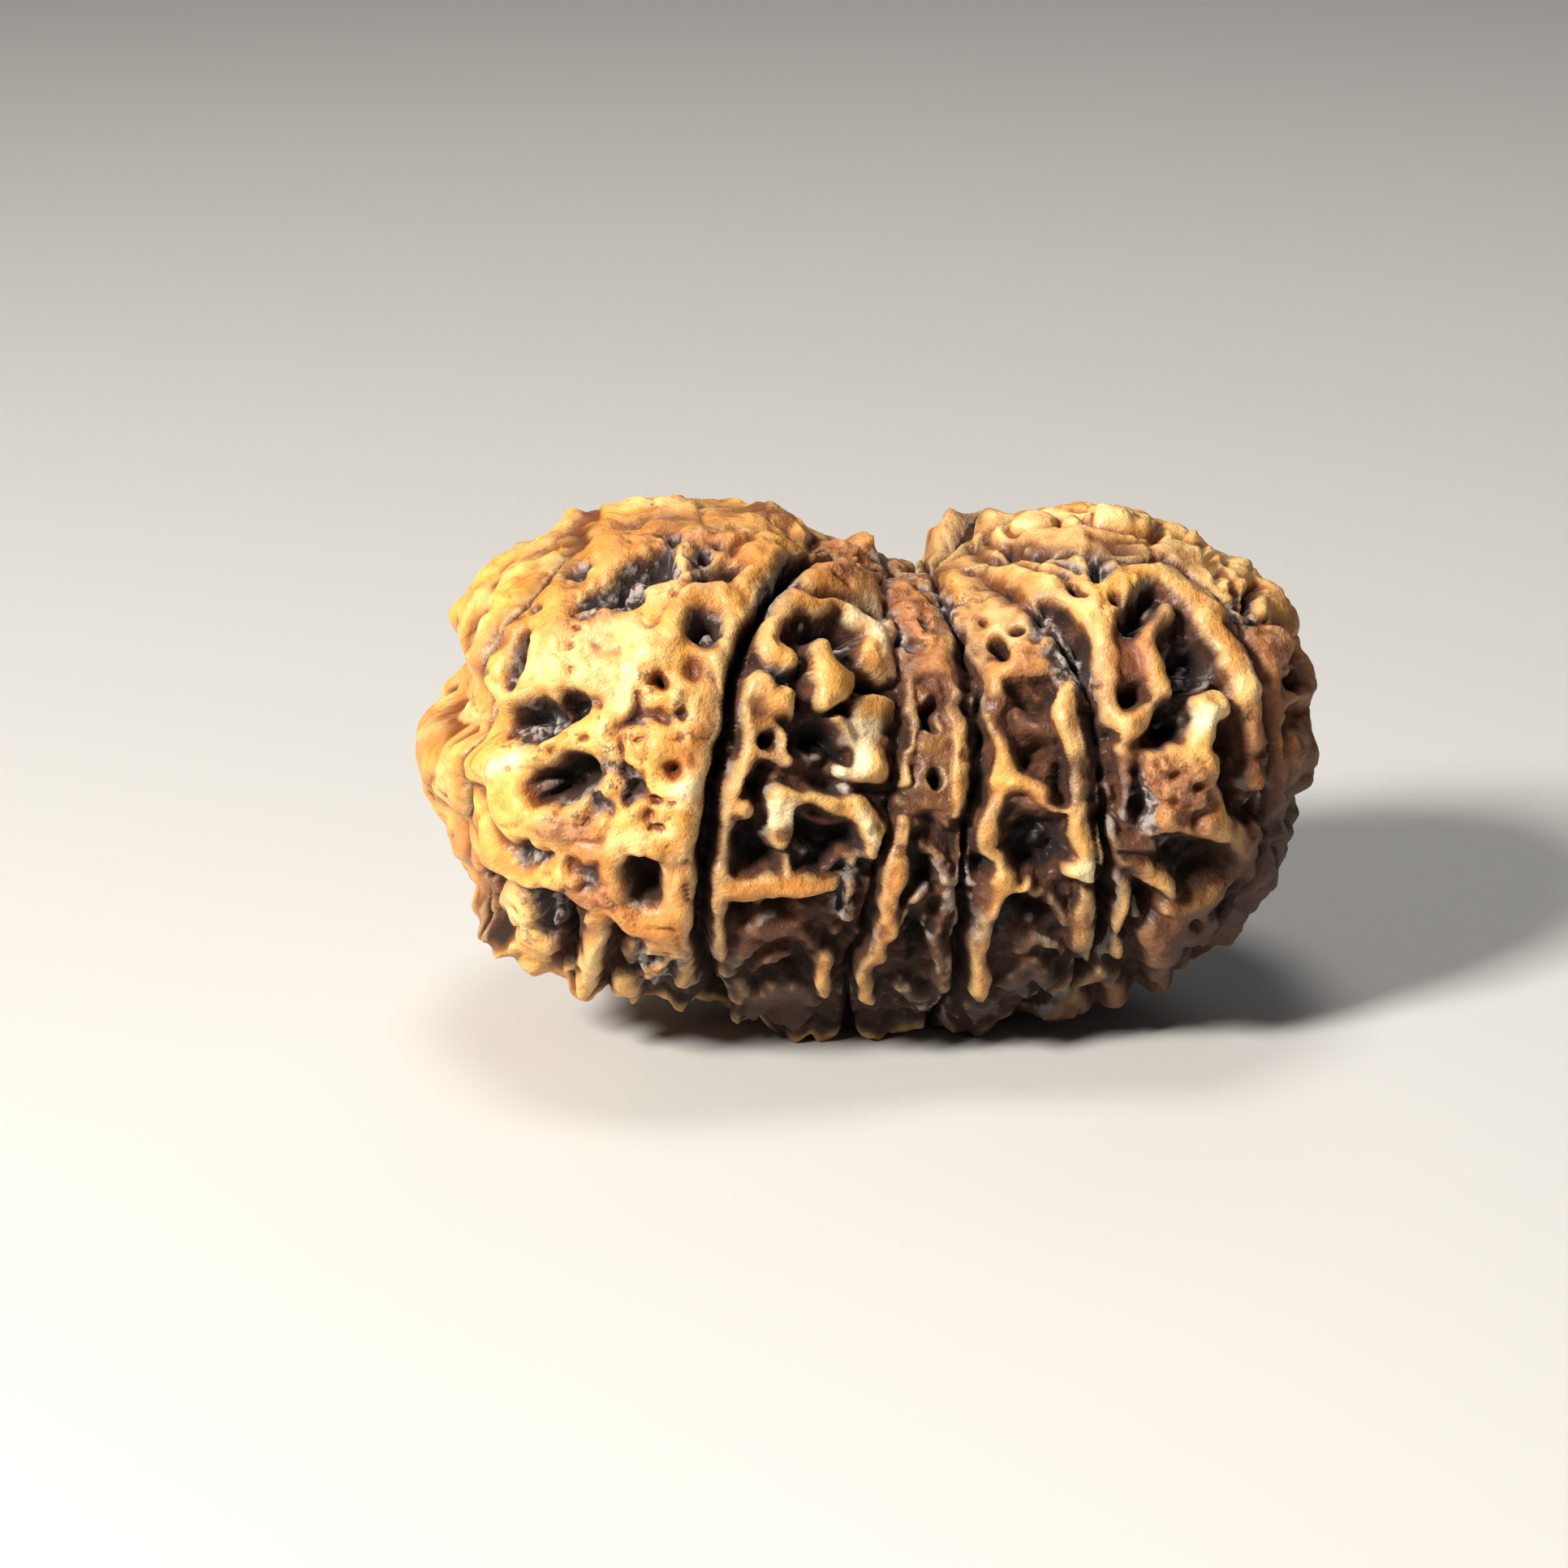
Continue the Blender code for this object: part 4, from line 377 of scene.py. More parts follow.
# Shallow lines in the skin of the front
CREASES = [
    stroke(0.12, (-6.0, 18.95), (-4.8, 18.9), (-3.8, 18.8), (-2.6, 18.3)),
    stroke(0.13, (-9.8, 18.6), (-11.6, 17.45), (-12.9, 16.7), (-13.6, 15.8), (-14.2, 14.9), (-14.8, 13.6)),
    stroke(0.12, (-15.4, 10.9), (-15.5, 9.5), (-15.4, 7.5)),
    stroke(0.12, (-14.4, 8.6), (-13.9, 8.0), (-13.4, 7.0), (-13.0, 6.3)),
    stroke(0.1, (-12.0, 14.4), (-12.7, 13.7)), stroke(0.12, (-4.8, 17.6), (-4.1, 17.9)),
    stroke(0.12, (-6.9, 15.6), (-6.4, 16.2), (-5.9, 16.5)),
    stroke(0.16, (-9.2, 10.5), (-8.7, 10.8), (-8.2, 11.4), (-7.1, 11.1)),
    stroke(0.12, (-8.9, 10.2), (-8.6, 9.0), (-7.9, 8.2), (-7.0, 8.0)),
    stroke(0.14, (-2.2, 16.1), (-1.1, 15.85), (-0.1, 15.5), (0.7, 15.2)),
    stroke(0.12, (3.3, 14.6), (3.5, 13.4), (3.7, 12.6)),
    stroke(0.14, (3.6, 17.7), (5.0, 17.2), (6.0, 16.9), (7.0, 16.5)),
    stroke(0.14, (4.2, 17.9), (7.0, 17.6), (8.0, 17.45)),
    stroke(0.14, (8.1, 17.95), (9.3, 17.75), (10.3, 17.85), (10.7, 18.3)),
    stroke(0.14, (13.0, 17.2), (13.2, 16.5), (13.4, 15.9), (13.7, 15.3)),
    stroke(0.14, (14.1, 14.9), (15.0, 14.6), (15.4, 14.1), (15.4, 13.2)),
    stroke(0.12, (14.6, 16.0), (14.8, 15.2), (15.2, 14.8)), stroke(0.12, (7.9, 4.7), (8.5, 4.75)),
    stroke(0.12, (15.7, 11.6), (15.5, 10.0), (15.6, 8.4)),
    stroke(0.12, (14.7, 7.6), (15.3, 6.4), (14.9, 5.2), (14.0, 4.2)),
    stroke(0.12, (5.0, 17.75), (6.6, 17.15), (7.6, 16.7)),
    stroke(0.12, (13.1, 14.9), (13.9, 14.2), (14.5, 13.0), (14.9, 11.6)),
    stroke(0.12, (14.0, 17.0), (14.5, 16.4), (14.7, 15.9)),
    stroke(0.12, (15.9, 14.2), (15.6, 13.2), (16.0, 12.2)),
    stroke(0.12, (-15.9, 12.2), (-15.6, 10.8), (-15.8, 9.2), (-15.3, 7.4)),
    stroke(0.12, (-14.5, 15.9), (-15.0, 14.6), (-15.2, 13.4)),
]
CREASE_DEPTH = 0.34

# Swellings and dimples of the front: place, radius and height
BOSSES = [
    ((8.4, 16.95), 0.5, -0.3), ((-6.35, 12.95), 0.42, -0.5), ((-9.9, 13.7), 0.3, -0.25),
    ((-8.35, 8.5), 0.4, -0.35), ((-7.8, 7.6), 0.35, -0.4), ((-9.1, 9.3), 0.4, -0.3),
    ((-6.98, 9.25), 0.4, -0.7), ((-7.4, 10.1), 0.7, 0.25), ((-9.6, 7.8), 0.5, -0.5),
    ((-8.5, 8.2), 0.3, -0.4), ((-10.7, 5.6), 0.3, -0.4), ((-10.2, 5.3), 0.35, -0.5),
    ((-9.7, 5.6), 0.25, -0.3), ((-6.6, 6.9), 0.5, 0.15), ((-7.4, 12.4), 0.3, -0.3),
    ((10.5, 9.3), 0.5, 0.2), ((12.3, 9.4), 0.5, 0.2), ((10.6, 8.7), 0.4, -0.2),
    ((11.9, 7.6), 0.5, -0.2), ((-0.5, 17.2), 0.9, 0.35), ((1.4, 15.2), 0.7, 0.15), ((11.2, 8.9), 0.8, 0.2),
    ((11.0, 7.3), 0.7, 0.18), ((12.4, 8.2), 0.6, 0.15), ((14.0, 16.0), 1.0, 0.25),
    ((15.1, 14.0), 0.9, 0.25), ((15.4, 10.0), 0.8, 0.25), ((12.9, 16.6), 0.7, 0.2),
    ((14.7, 5.2), 0.8, 0.25), ((-14.0, 15.6), 0.9, 0.2), ((-15.5, 9.6), 0.9, 0.25),
    ((-8.0, 12.5), 0.8, 0.2), ((-6.7, 11.9), 0.5, 0.18), ((-9.5, 10.6), 0.6, 0.2),
    ((-11.5, 14.2), 0.9, 0.24), ((-13.9, 10.0), 0.8, 0.15), ((-8.3, 10.0), 0.5, 0.22),
    ((-7.2, 8.1), 0.6, 0.22), ((-6.2, 8.6), 0.5, 0.15), ((-8.6, 6.6), 0.9, 0.2),
    ((-12.6, 7.5), 0.9, 0.18), ((-12.2, 9.9), 0.7, 0.12), ((-10.8, 13.0), 0.6, 0.16),
    ((-8.5, 14.3), 0.6, 0.14), ((-7.0, 14.0), 0.5, 0.14), ((-6.2, 6.2), 0.6, 0.14),
    ((-10.3, 6.6), 0.7, -0.14), ((-9.6, 12.0), 0.7, -0.16), ((-8.0, 11.0), 0.8, -0.22),
    ((-7.3, 11.2), 0.4, -0.2), ((-8.8, 9.0), 0.6, -0.15), ((-6.4, 10.3), 0.4, 0.15),
    ((-13.2, 11.9), 0.7, 0.18), ((-6.6, 15.8), 0.6, 0.15), ((-9.2, 17.4), 0.8, 0.15),
    ((-11.3, 7.3), 0.7, 0.15), ((-13.6, 8.0), 0.7, 0.15), ((-7.5, 3.6), 0.7, 0.2),
    ((-6.4, 4.0), 0.5, 0.18), ((-10.4, 4.9), 0.7, -0.12), ((-13.2, 13.2), 0.5, 0.14),
    ((7.75, 5.4), 0.4, 0.2), ((0.5, 11.6), 0.6, 0.2), ((0.6, 9.4), 0.5, 0.22),
    ((0.55, 14.0), 0.5, 0.2), ((-3.2, 14.6), 0.5, 0.15), ((-1.0, 12.6), 0.6, 0.15),
    ((12.8, 11.5), 0.6, 0.3), ((13.9, 12.5), 0.6, 0.2), ((-2.7, 7.9), 0.4, 0.15),
    ((-12.5, 3.4), 0.7, 0.3), ((-9.9, 2.3), 0.5, 0.3), ((10.9, 2.2), 0.7, 0.3),
    ((9.3, 11.2), 0.5, 0.15), ((7.4, 12.4), 0.4, 0.15), ((4.9, 8.9), 0.45, 0.15),
]

# Knobs and notches of the bead's outline: place, half-widths along X, Y and Z, and height
OUTLINE_KNOBS = [
    ((2.75, 17.9), (0.9, 1.4, 1.15), 0.75), ((4.0, 18.3), (1.2, 1.6, 1.0), 0.8),
    ((0.2, 17.6), (0.9, 1.2, 0.8), 0.4), ((-3.2, 18.7), (1.4, 1.6, 0.9), 0.4),
    ((-16.0, 9.3), (2.0, 2.4, 2.0), 0.6), ((-15.3, 11.9), (3.2, 11.0, 1.5), -1.0),
    ((-15.2, 7.3), (1.6, 2.4, 1.1), -0.35), ((-15.0, 14.9), (1.0, 1.8, 1.0), 0.1),
    ((-12.0, 17.7), (0.7, 1.6, 0.8), -0.1), ((-10.3, 18.7), (1.1, 1.4, 0.8), 0.45),
    ((-8.0, 19.2), (1.6, 1.6, 0.8), 0.2), ((-13.0, 17.2), (0.8, 1.6, 0.8), 0.15),
    ((-13.6, 2.7), (0.8, 1.2, 0.9), 0.9), ((-12.3, 2.0), (0.7, 1.0, 0.8), 0.6),
    ((-10.3, 1.2), (0.6, 0.9, 0.8), 0.55), ((-15.2, 4.9), (1.4, 3.0, 1.0), -0.2),
    ((-14.2, 3.7), (0.7, 1.2, 0.9), 0.3),
    ((-9.4, 0.9), (0.7, 1.4, 0.8), 0.1), ((-8.0, 0.7), (0.7, 1.4, 0.8), 0.3),
    ((-6.5, 0.6), (0.8, 1.4, 0.8), 0.55), ((0.2, -0.5), (0.8, 1.4, 0.8), 0.3),
    ((-4.4, 0.2), (0.9, 1.4, 0.8), 0.5),
    ((-2.9, -0.2), (1.0, 1.6, 0.8), 0.6), ((-1.3, -0.5), (0.6, 1.4, 0.8), 0.35),
    ((4.0, -0.3), (0.9, 1.4, 0.8), 0.35), ((6.9, 0.3), (0.9, 1.4, 0.8), 0.5),
    ((16.2, 12.9), (1.5, 2.4, 1.2), 0.4), ((15.9, 11.35), (0.9, 2.0, 0.6), -0.6),
    ((16.1, 9.8), (1.5, 2.0, 1.2), 0.1), ((15.7, 7.9), (1.2, 4.0, 0.9), -0.5),
    ((12.3, 17.4), (0.5, 4.0, 0.7), -0.8), ((13.5, 17.0), (0.9, 1.6, 0.9), 0.3),
    ((15.3, 15.5), (1.4, 2.2, 1.4), 0.6), ((15.3, 6.4), (1.0, 1.8, 1.0), 0.1),
    ((8.6, 0.9), (1.6, 1.2, 0.9), 0.45), ((10.7, 1.5), (0.7, 1.0, 0.8), 0.65),
    ((13.4, 3.3), (0.8, 1.4, 0.8), 0.35),
]

# Pebble-like knobs with a crease round them: place, half-widths along X, Y and Z, and height
PEBBLES = [
    ((9.3, 18.3), (1.45, 0.9, 0.7), 0.45), ((11.85, 17.6), (0.42, 0.42, 0.5), 0.7),
    ((7.5, 18.45), (0.6, 0.6, 0.5), 0.2), ((6.0, 18.4), (1.0, 0.7, 0.5), 0.1),
]

# Crusty patches of the front
CRUST = [
    stroke(0.7, (-10.4, 15.2), (-9.0, 15.9), (-7.2, 16.9)), oval(-10.4, 16.6, 0.8, 0.45, 30.0),
    oval(-6.6, 17.6, 1.5, 0.5), stroke(0.35, (-12.5, 14.1), (-13.0, 12.8), (-13.1, 12.3)),
    oval(-5.8, 14.7, 0.55, 0.5), oval(-12.4, 10.3, 1.5, 1.0, 12.0),
    stroke(0.8, (-10.3, 7.6), (-9.3, 8.2), (-8.3, 8.3), (-7.8, 7.5)),
    stroke(0.6, (-9.0, 9.0), (-8.9, 10.2), (-8.2, 11.1), (-7.2, 11.3), (-6.4, 10.6)),
    oval(-7.9, 12.0, 1.1, 0.7), oval(-8.4, 8.9, 0.9, 0.9), oval(-10.3, 10.4, 0.6, 0.4),
    oval(-12.3, 5.9, 0.7, 0.5, -25.0), stroke(0.5, (-11.6, 5.0), (-10.2, 5.0), (-9.0, 4.3), (-8.2, 3.2)),
    oval(-7.4, 1.7, 1.1, 0.9), stroke(0.4, (-3.4, 12.9), (-2.2, 12.5)), oval(-0.9, 14.3, 0.7, 0.4),
    stroke(0.5, (-2.8, 17.0), (-3.6, 15.8)), oval(-0.6, 8.4, 0.5, 0.25),
    stroke(0.4, (0.1, 6.2), (-0.3, 5.4), (-0.8, 4.2)), stroke(0.6, (6.3, 15.0), (7.0, 13.8), (7.7, 12.8)),
    oval(8.4, 16.9, 0.5, 0.7), stroke(0.35, (10.3, 16.1), (9.8, 15.4), (9.55, 14.6)),
    stroke(0.4, (-11.2, 7.9), (-10.2, 7.7)), oval(12.0, 13.6, 0.9, 0.9), oval(11.2, 11.3, 0.7, 0.8),
    oval(11.3, 8.3, 1.6, 1.5), oval(1.6, 15.2, 1.0, 1.8), oval(-0.6, 16.9, 1.0, 0.8),
    oval(3.3, 15.6, 0.8, 1.0, 30.0),
]

# Parts of the front painted pale cream where highlights fall on the skin: painted highlights
PAINTED_HIGHLIGHT_PATCHES = [
    oval(-11.2, 13.3, 2.0, 0.9), oval(-8.7, 12.6, 1.3, 1.7), oval(-6.3, 11.7, 0.6, 1.0),
    oval(-6.5, 8.4, 0.8, 0.6), oval(-8.4, 6.8, 1.0, 0.5), oval(-9.4, 9.9, 0.6, 0.9),
    stroke(0.3, (-13.7, 9.3), (-12.8, 9.4), (-11.9, 9.8)), stroke(0.3, (-13.8, 11.9), (-12.4, 12.1)),
    stroke(0.4, (-15.6, 11.2), (-15.9, 9.8), (-15.4, 8.0)),
    stroke(0.35, (-14.8, 13.6), (-13.7, 15.7), (-11.9, 17.4), (-9.6, 18.9), (-6.0, 19.3)),
    stroke(0.4, (-5.5, 16.0), (-5.2, 12.5), (-5.6, 9.0), (-6.0, 5.5)), oval(-7.0, 16.2, 1.4, 0.5, 10.0),
    stroke(0.5, (-13.1, 4.4), (-12.2, 2.8)), stroke(0.35, (-9.8, 3.2), (-10.1, 1.6)),
    oval(-7.4, 2.0, 0.8, 0.6), stroke(0.4, (-0.6, 15.5), (0.3, 14.9), (0.75, 14.1), (0.7, 13.2)),
    stroke(0.3, (-3.2, 14.9), (-2.4, 15.8)),
    stroke(0.45, (0.5, 11.4), (0.5, 9.8), (0.1, 9.1), (-0.6, 9.1)),
    stroke(0.4, (-0.1, 7.9), (0.3, 7.0), (0.5, 6.3)), stroke(0.3, (-2.9, 8.1), (-1.9, 8.2)),
    oval(-3.8, 12.7, 0.5, 0.4), oval(-1.5, 1.1, 0.3, 0.5),
    stroke(0.16, (1.85, 12.9), (1.8, 11.0), (1.65, 9.2)),
    stroke(0.2, (3.3, 12.6), (3.4, 10.5), (3.45, 8.6)), oval(8.2, 5.3, 0.5, 0.5),
    oval(8.1, 5.0, 0.4, 0.4), stroke(0.35, (6.7, 13.6), (7.3, 12.2), (7.4, 10.8), (7.9, 9.2)),
    stroke(0.3, (4.5, 12.8), (4.6, 11.2)), oval(4.9, 7.6, 0.4, 0.7),
    stroke(0.5, (4.7, 16.8), (5.9, 16.5), (7.2, 15.8), (8.2, 14.9), (8.6, 13.5), (9.0, 11.5), (9.8, 11.0)),
    oval(10.7, 15.0, 0.5, 0.5), stroke(0.4, (11.4, 16.4), (12.6, 15.3)), oval(13.9, 12.6, 0.6, 0.6),
    oval(12.8, 11.6, 0.6, 0.7), oval(9.45, 9.6, 0.4, 0.5), oval(9.3, 18.3, 1.4, 0.6),
    oval(5.4, 17.3, 3.4, 1.5), oval(4.6, 14.7, 1.5, 1.4), oval(10.8, 17.6, 2.2, 0.8, -15.0),
    oval(13.9, 7.0, 0.5, 0.4), oval(12.9, 16.7, 0.6, 0.5),
]

# Ridge tops of the front painted almost white: painted highlights, the glints on them
PAINTED_GLINTS = [
    stroke(0.3, (-0.2, 15.2), (0.5, 14.6), (0.8, 13.7)),
    stroke(0.3, (0.55, 11.2), (0.6, 9.9), (0.2, 9.2), (-0.6, 9.1)), stroke(0.25, (0.2, 7.4), (0.4, 6.6)),
    stroke(0.25, (-2.8, 7.9), (-2.7, 7.2)), oval(8.1, 5.2, 0.45, 0.45), oval(12.7, 11.7, 0.5, 0.6),
    oval(13.9, 12.6, 0.4, 0.4), stroke(0.2, (-13.6, 9.3), (-12.8, 9.4), (-12.1, 9.7)),
    oval(-6.3, 8.6, 0.5, 0.4),
]

# Parts of the front with a pinkish brown skin
PINKISH = [
    stroke((0.9, 1.0), (-0.6, 17.6), (0.8, 15.8), (2.0, 13.9), (2.4, 13.2)), oval(11.2, 8.4, 2.0, 1.9),
    oval(9.7, 13.8, 1.0, 1.6), stroke(1.2, (14.6, 14.0), (15.2, 10.0), (14.4, 5.0), (10.5, 2.0)),
    oval(5.9, 10.8, 0.7, 1.8), oval(6.1, 8.3, 0.8, 0.5), stroke(0.9, (5.5, 12.4), (5.6, 10.2)),
    oval(-11.2, 7.0, 1.2, 0.7), oval(-10.2, 14.4, 1.0, 0.5), oval(-6.0, 17.4, 1.6, 0.6),
    oval(-3.2, 2.3, 1.8, 1.2), oval(-9.4, 4.9, 1.4, 0.5),
]


def smooth_min(first, second, width):
    """The lesser of two values, rounded where they are nearly alike."""
    closeness = np.clip(width - np.abs(first - second), 0.0, None) / width
    return np.minimum(first, second) - closeness * closeness * width / 4


def smooth_max(first, second, width):
    return -smooth_min(-first, -second, width)


def smooth_step(values, low, high):
    share = np.clip((values - low) / (high - low), 0.0, 1.0)
    return share * share * (3 - 2 * share)


def lengths(vectors):
    return np.linalg.norm(vectors, axis=1)


def unit(vectors):
    return vectors / lengths(vectors)[:, None]


def lobe_distance(points, lobe):
    """About how far the points lie outside a leaning superellipsoid."""
    offset = points - np.array(lobe["centre"])
    lean_cos = np.cos(lobe["lean"])
    lean_sin = np.sin(lobe["lean"])
    turned = np.stack([offset[:, 0] * lean_cos + offset[:, 2] * lean_sin, offset[:, 1],
                       offset[:, 2] * lean_cos - offset[:, 0] * lean_sin], axis=1)
    radii = np.array(lobe["radii"])
    power = lobe["power"]
    share = np.maximum(np.abs(turned) / radii, 1e-9)
    reach = (share ** power).sum(axis=1) ** (1 / power)
    slope = lengths((share / reach[:, None]) ** (power - 1) / radii)
    return (reach - 1) / slope


def body_distance(points):
    lobes = smooth_min(lobe_distance(points, LEFT_LOBE), lobe_distance(points, RIGHT_LOBE), WAIST_BLEND)
    return smooth_min(lobes, lobe_distance(points, KEEL), KEEL_BLEND)


def on_body(directions):
    """The points where rays from the core leave the body."""
    near = np.zeros(len(directions))
    far = np.full(len(directions), BODY_REACH)
    for _ in range(RAY_HALVINGS):
        middle = (near + far) / 2
        inside = body_distance(CORE + directions * middle[:, None]) < 0
        near = np.where(inside, middle, near)
        far = np.where(inside, far, middle)
    return CORE + directions * near[:, None]


def body_normals(points, step=0.01):
    slopes = [body_distance(points + axis * step) - body_distance(points - axis * step)
              for axis in np.eye(3)]
    return unit(np.stack(slopes, axis=1))


def onto_body(points):
    """Moves points along the body's normals until they lie on it."""
    for _ in range(SETTLE_STEPS):
        points = points - body_normals(points) * body_distance(points)[:, None]
    return points


BACK = np.array([np.sin(EYE_TURN) * np.cos(EYE_RISE), -np.cos(EYE_TURN) * np.cos(EYE_RISE),
                 np.sin(EYE_RISE)])
RIGHT = np.array([np.cos(EYE_TURN), np.sin(EYE_TURN), 0.0])
UP = np.cross(BACK, RIGHT)
EYE = TARGET + BACK * EYE_DISTANCE


def drawn(points):
    """Where points fall on the drawing plane: across and up from its foot."""
    offset = points - EYE
    scale = EYE_DISTANCE / -(offset @ BACK)
    return np.stack([(offset @ RIGHT) * scale, (offset @ UP) * scale + PLANE_FOOT], axis=1)


def seen(marks):
    """The body's points under marks of the drawing plane."""
    marks = np.array(marks)
    on_plane = TARGET + marks[:, :1] * RIGHT + (marks[:, 1:] - PLANE_FOOT) * UP
    rays = unit(on_plane - EYE)
    travel = np.full(len(marks), EYE_DISTANCE - BODY_REACH)
    closest = travel.copy()
    least = np.full(len(marks), np.inf)
    for _ in range(EYE_STEPS):
        gap = body_distance(EYE + rays * travel[:, None])
        nearer = gap < least
        closest = np.where(nearer, travel, closest)
        least = np.where(nearer, gap, least)
        travel = travel + np.clip(gap, -0.5, 0.5) * 0.9 + np.where(gap > 0.02, 0.05, 0.0)
    return onto_body(EYE + rays * closest[:, None])


def smooth_path(points, parts=5):
    """Points along a Catmull-Rom curve through the given ones."""
    points = np.array(points, dtype=float)
    if len(points) < 3:
        return points
    padded = np.vstack([2 * points[0] - points[1], points, 2 * points[-1] - points[-2]])
    share = (np.arange(parts) / parts)[:, None]
    curve = []
    for before, first, second, after in zip(padded, padded[1:], padded[2:], padded[3:]):
        curve.append(0.5 * (2 * first + (second - before) * share
                            + (2 * before - 5 * first + 4 * second - after) * share ** 2
                            + (3 * first - before - 3 * second + after) * share ** 3))
    return np.vstack(curve + [points[-1:]])


def to_segment(spots, start, run):
    """The share of a segment where it is nearest to each spot, and how far away that is."""
    share = np.clip((spots - start) @ run / max(run @ run, 1e-12), 0.0, 1.0)
    return share, lengths(spots - start - share[:, None] * run)


def path_depth(spots, path, half_widths):
    """How deep spots lie inside a path whose half-width runs evenly from one end to the other."""
    widths = np.linspace(half_widths[0], half_widths[1], len(path))
    depth = np.full(len(spots), -np.inf)
    for start, end, wide_start, wide_end in zip(path, path[1:], widths, widths[1:]):
        share, gap = to_segment(spots, start, end - start)
        depth = np.maximum(depth, wide_start + (wide_end - wide_start) * share - gap)
    return depth


def oval_depth(spots, centre, radii, tilt):
    turn = np.radians(tilt)
    offset = spots - np.array(centre)
    turned = np.stack([offset[:, 0] * np.cos(turn) + offset[:, 1] * np.sin(turn),
                       offset[:, 1] * np.cos(turn) - offset[:, 0] * np.sin(turn)], axis=1)
    share = turned / np.array(radii)
    reach = lengths(share)
    slope = lengths(share / np.array(radii))
    return np.where(reach > 1e-6, reach * (1 - reach) / np.maximum(slope, 1e-9), min(radii))


def sheet_depth(spots, outline):
    outline = np.array(outline)
    gap = np.full(len(spots), np.inf)
    inside = np.zeros(len(spots), dtype=bool)
    for start, end in zip(outline, np.roll(outline, -1, axis=0)):
        run = end - start
        gap = np.minimum(gap, to_segment(spots, start, run)[1])
        crosses = (start[1] > spots[:, 1]) != (end[1] > spots[:, 1])
        rise = run[1] if run[1] else 1.0
        at = start[0] + (spots[:, 1] - start[1]) / rise * run[0]
        inside ^= crosses & (spots[:, 0] < at)
    return np.where(inside, gap, -gap)


def mark_depth(spots, mark):
    """How deep spots lie inside one mark, with the rows of those near enough to matter."""
    kind = mark[0]
    if kind == "stroke":
        widths = mark[1] if isinstance(mark[1], tuple) else (mark[1], mark[1])
        extent = smooth_path(mark[2])
        margin = max(widths) + FAR
    elif kind == "oval":
        extent = np.array([mark[1]])
        margin = max(mark[2]) + FAR
    else:
        extent = np.array(mark[1])
        margin = FAR
    low = extent.min(axis=0) - margin
    high = extent.max(axis=0) + margin
    rows = np.flatnonzero(np.all((spots > low) & (spots < high), axis=1))
    if kind == "stroke":
        depth = path_depth(spots[rows], extent, widths)
    elif kind == "oval":
        depth = oval_depth(spots[rows], mark[1], mark[2], mark[3])
    else:
        depth = sheet_depth(spots[rows], mark[1])
    return rows, depth


def marks_depth(spots, marks, depth=None):
    """How deep spots lie inside any of the marks, which flow together where they meet."""
    if depth is None:
        depth = np.full(len(spots), -FAR)
    for mark in marks:
        rows, inside = mark_depth(spots, mark)
        depth[rows] = smooth_max(depth[rows], np.maximum(inside, -FAR), JOIN)
    return depth


def cut_marks(spots, marks, depth):
    for mark in marks:
        rows, inside = mark_depth(spots, mark)
        depth[rows] = smooth_min(depth[rows], -inside, JOIN)
    return depth


def lattice_noise(points, cell, draw):
    """Smooth noise from -1 to 1 that changes over about one cell, another for each draw."""
    table = np.random.default_rng(SEED + draw).uniform(-1.0, 1.0, LATTICE_SIZE)
    scaled = points / cell
    corner = np.floor(scaled).astype(np.int64)
    share = scaled - corner
    share = share * share * (3 - 2 * share)
    total = np.zeros(len(points))
    for bits in range(8):
        step = np.array([bits & 1, bits >> 1 & 1, bits >> 2 & 1])
        spot = corner + step
        row = (spot[:, 0] * 73856093 ^ spot[:, 1] * 19349663 ^ spot[:, 2] * 83492791) % len(table)
        total += table[row] * np.prod(np.where(step, share, 1 - share), axis=1)
    return total


def warped(points, amount, cell, draw):
    shifts = [lattice_noise(points, cell, draw + axis) for axis in range(3)]
    return points + amount * np.stack(shifts, axis=1)


def furrow_paths():
    """Every furrow as a path on the body, with its half-widths at the stalk and at the tip."""
    stalk_aim = np.array([[STALK[0] - CORE[0], STALK[1] - CORE[1], STALK_RISE]])
    stalk = on_body(stalk_aim / np.linalg.norm(stalk_aim))
    paths = []
    for widths, *marks in FURROWS:
        front = seen(marks)
        foot = front[-1]
        tip_x = CORE[0] + TIP_HALF_LENGTH * np.tanh((foot[0] - CORE[0]) / 9.0)
        under = []
        for share in (0.3, 0.6, 0.85):
            under.append([foot[0] + (tip_x - foot[0]) * share ** 1.5, foot[1] * (1 - share),
                          foot[2] * (1 - share) ** 2])
        path = np.vstack([stalk, front, onto_body(np.array(under))])
        paths.append((widths, onto_body(smooth_path(path))))
    for across in BACK_FURROWS:
        rise = np.radians(np.linspace(82.0, -80.0, 13))
        spread = np.cos(rise) ** 0.75
        wander = 0.5 * np.sin(rise * 2.3 + across)
        offset = across - CORE[0] + wander
        aims = np.stack([offset * spread + 0.4 * np.sin(rise), 9.0 * np.cos(rise), 9.0 * np.sin(rise)],
                        axis=1)
        path = np.vstack([stalk, on_body(unit(aims))])
        wide = 0.2 if abs(across) > 9 else 0.36
        paths.append(((0.14, wide), onto_body(smooth_path(path))))
    return paths


def furrow_depth(points):
    """How deep points lie inside the nearest furrow, below zero outside it."""
    depth = np.full(len(points), -np.inf)
    for widths, path in furrow_paths():
        depth = np.maximum(depth, path_depth(points, path, widths))
    return depth


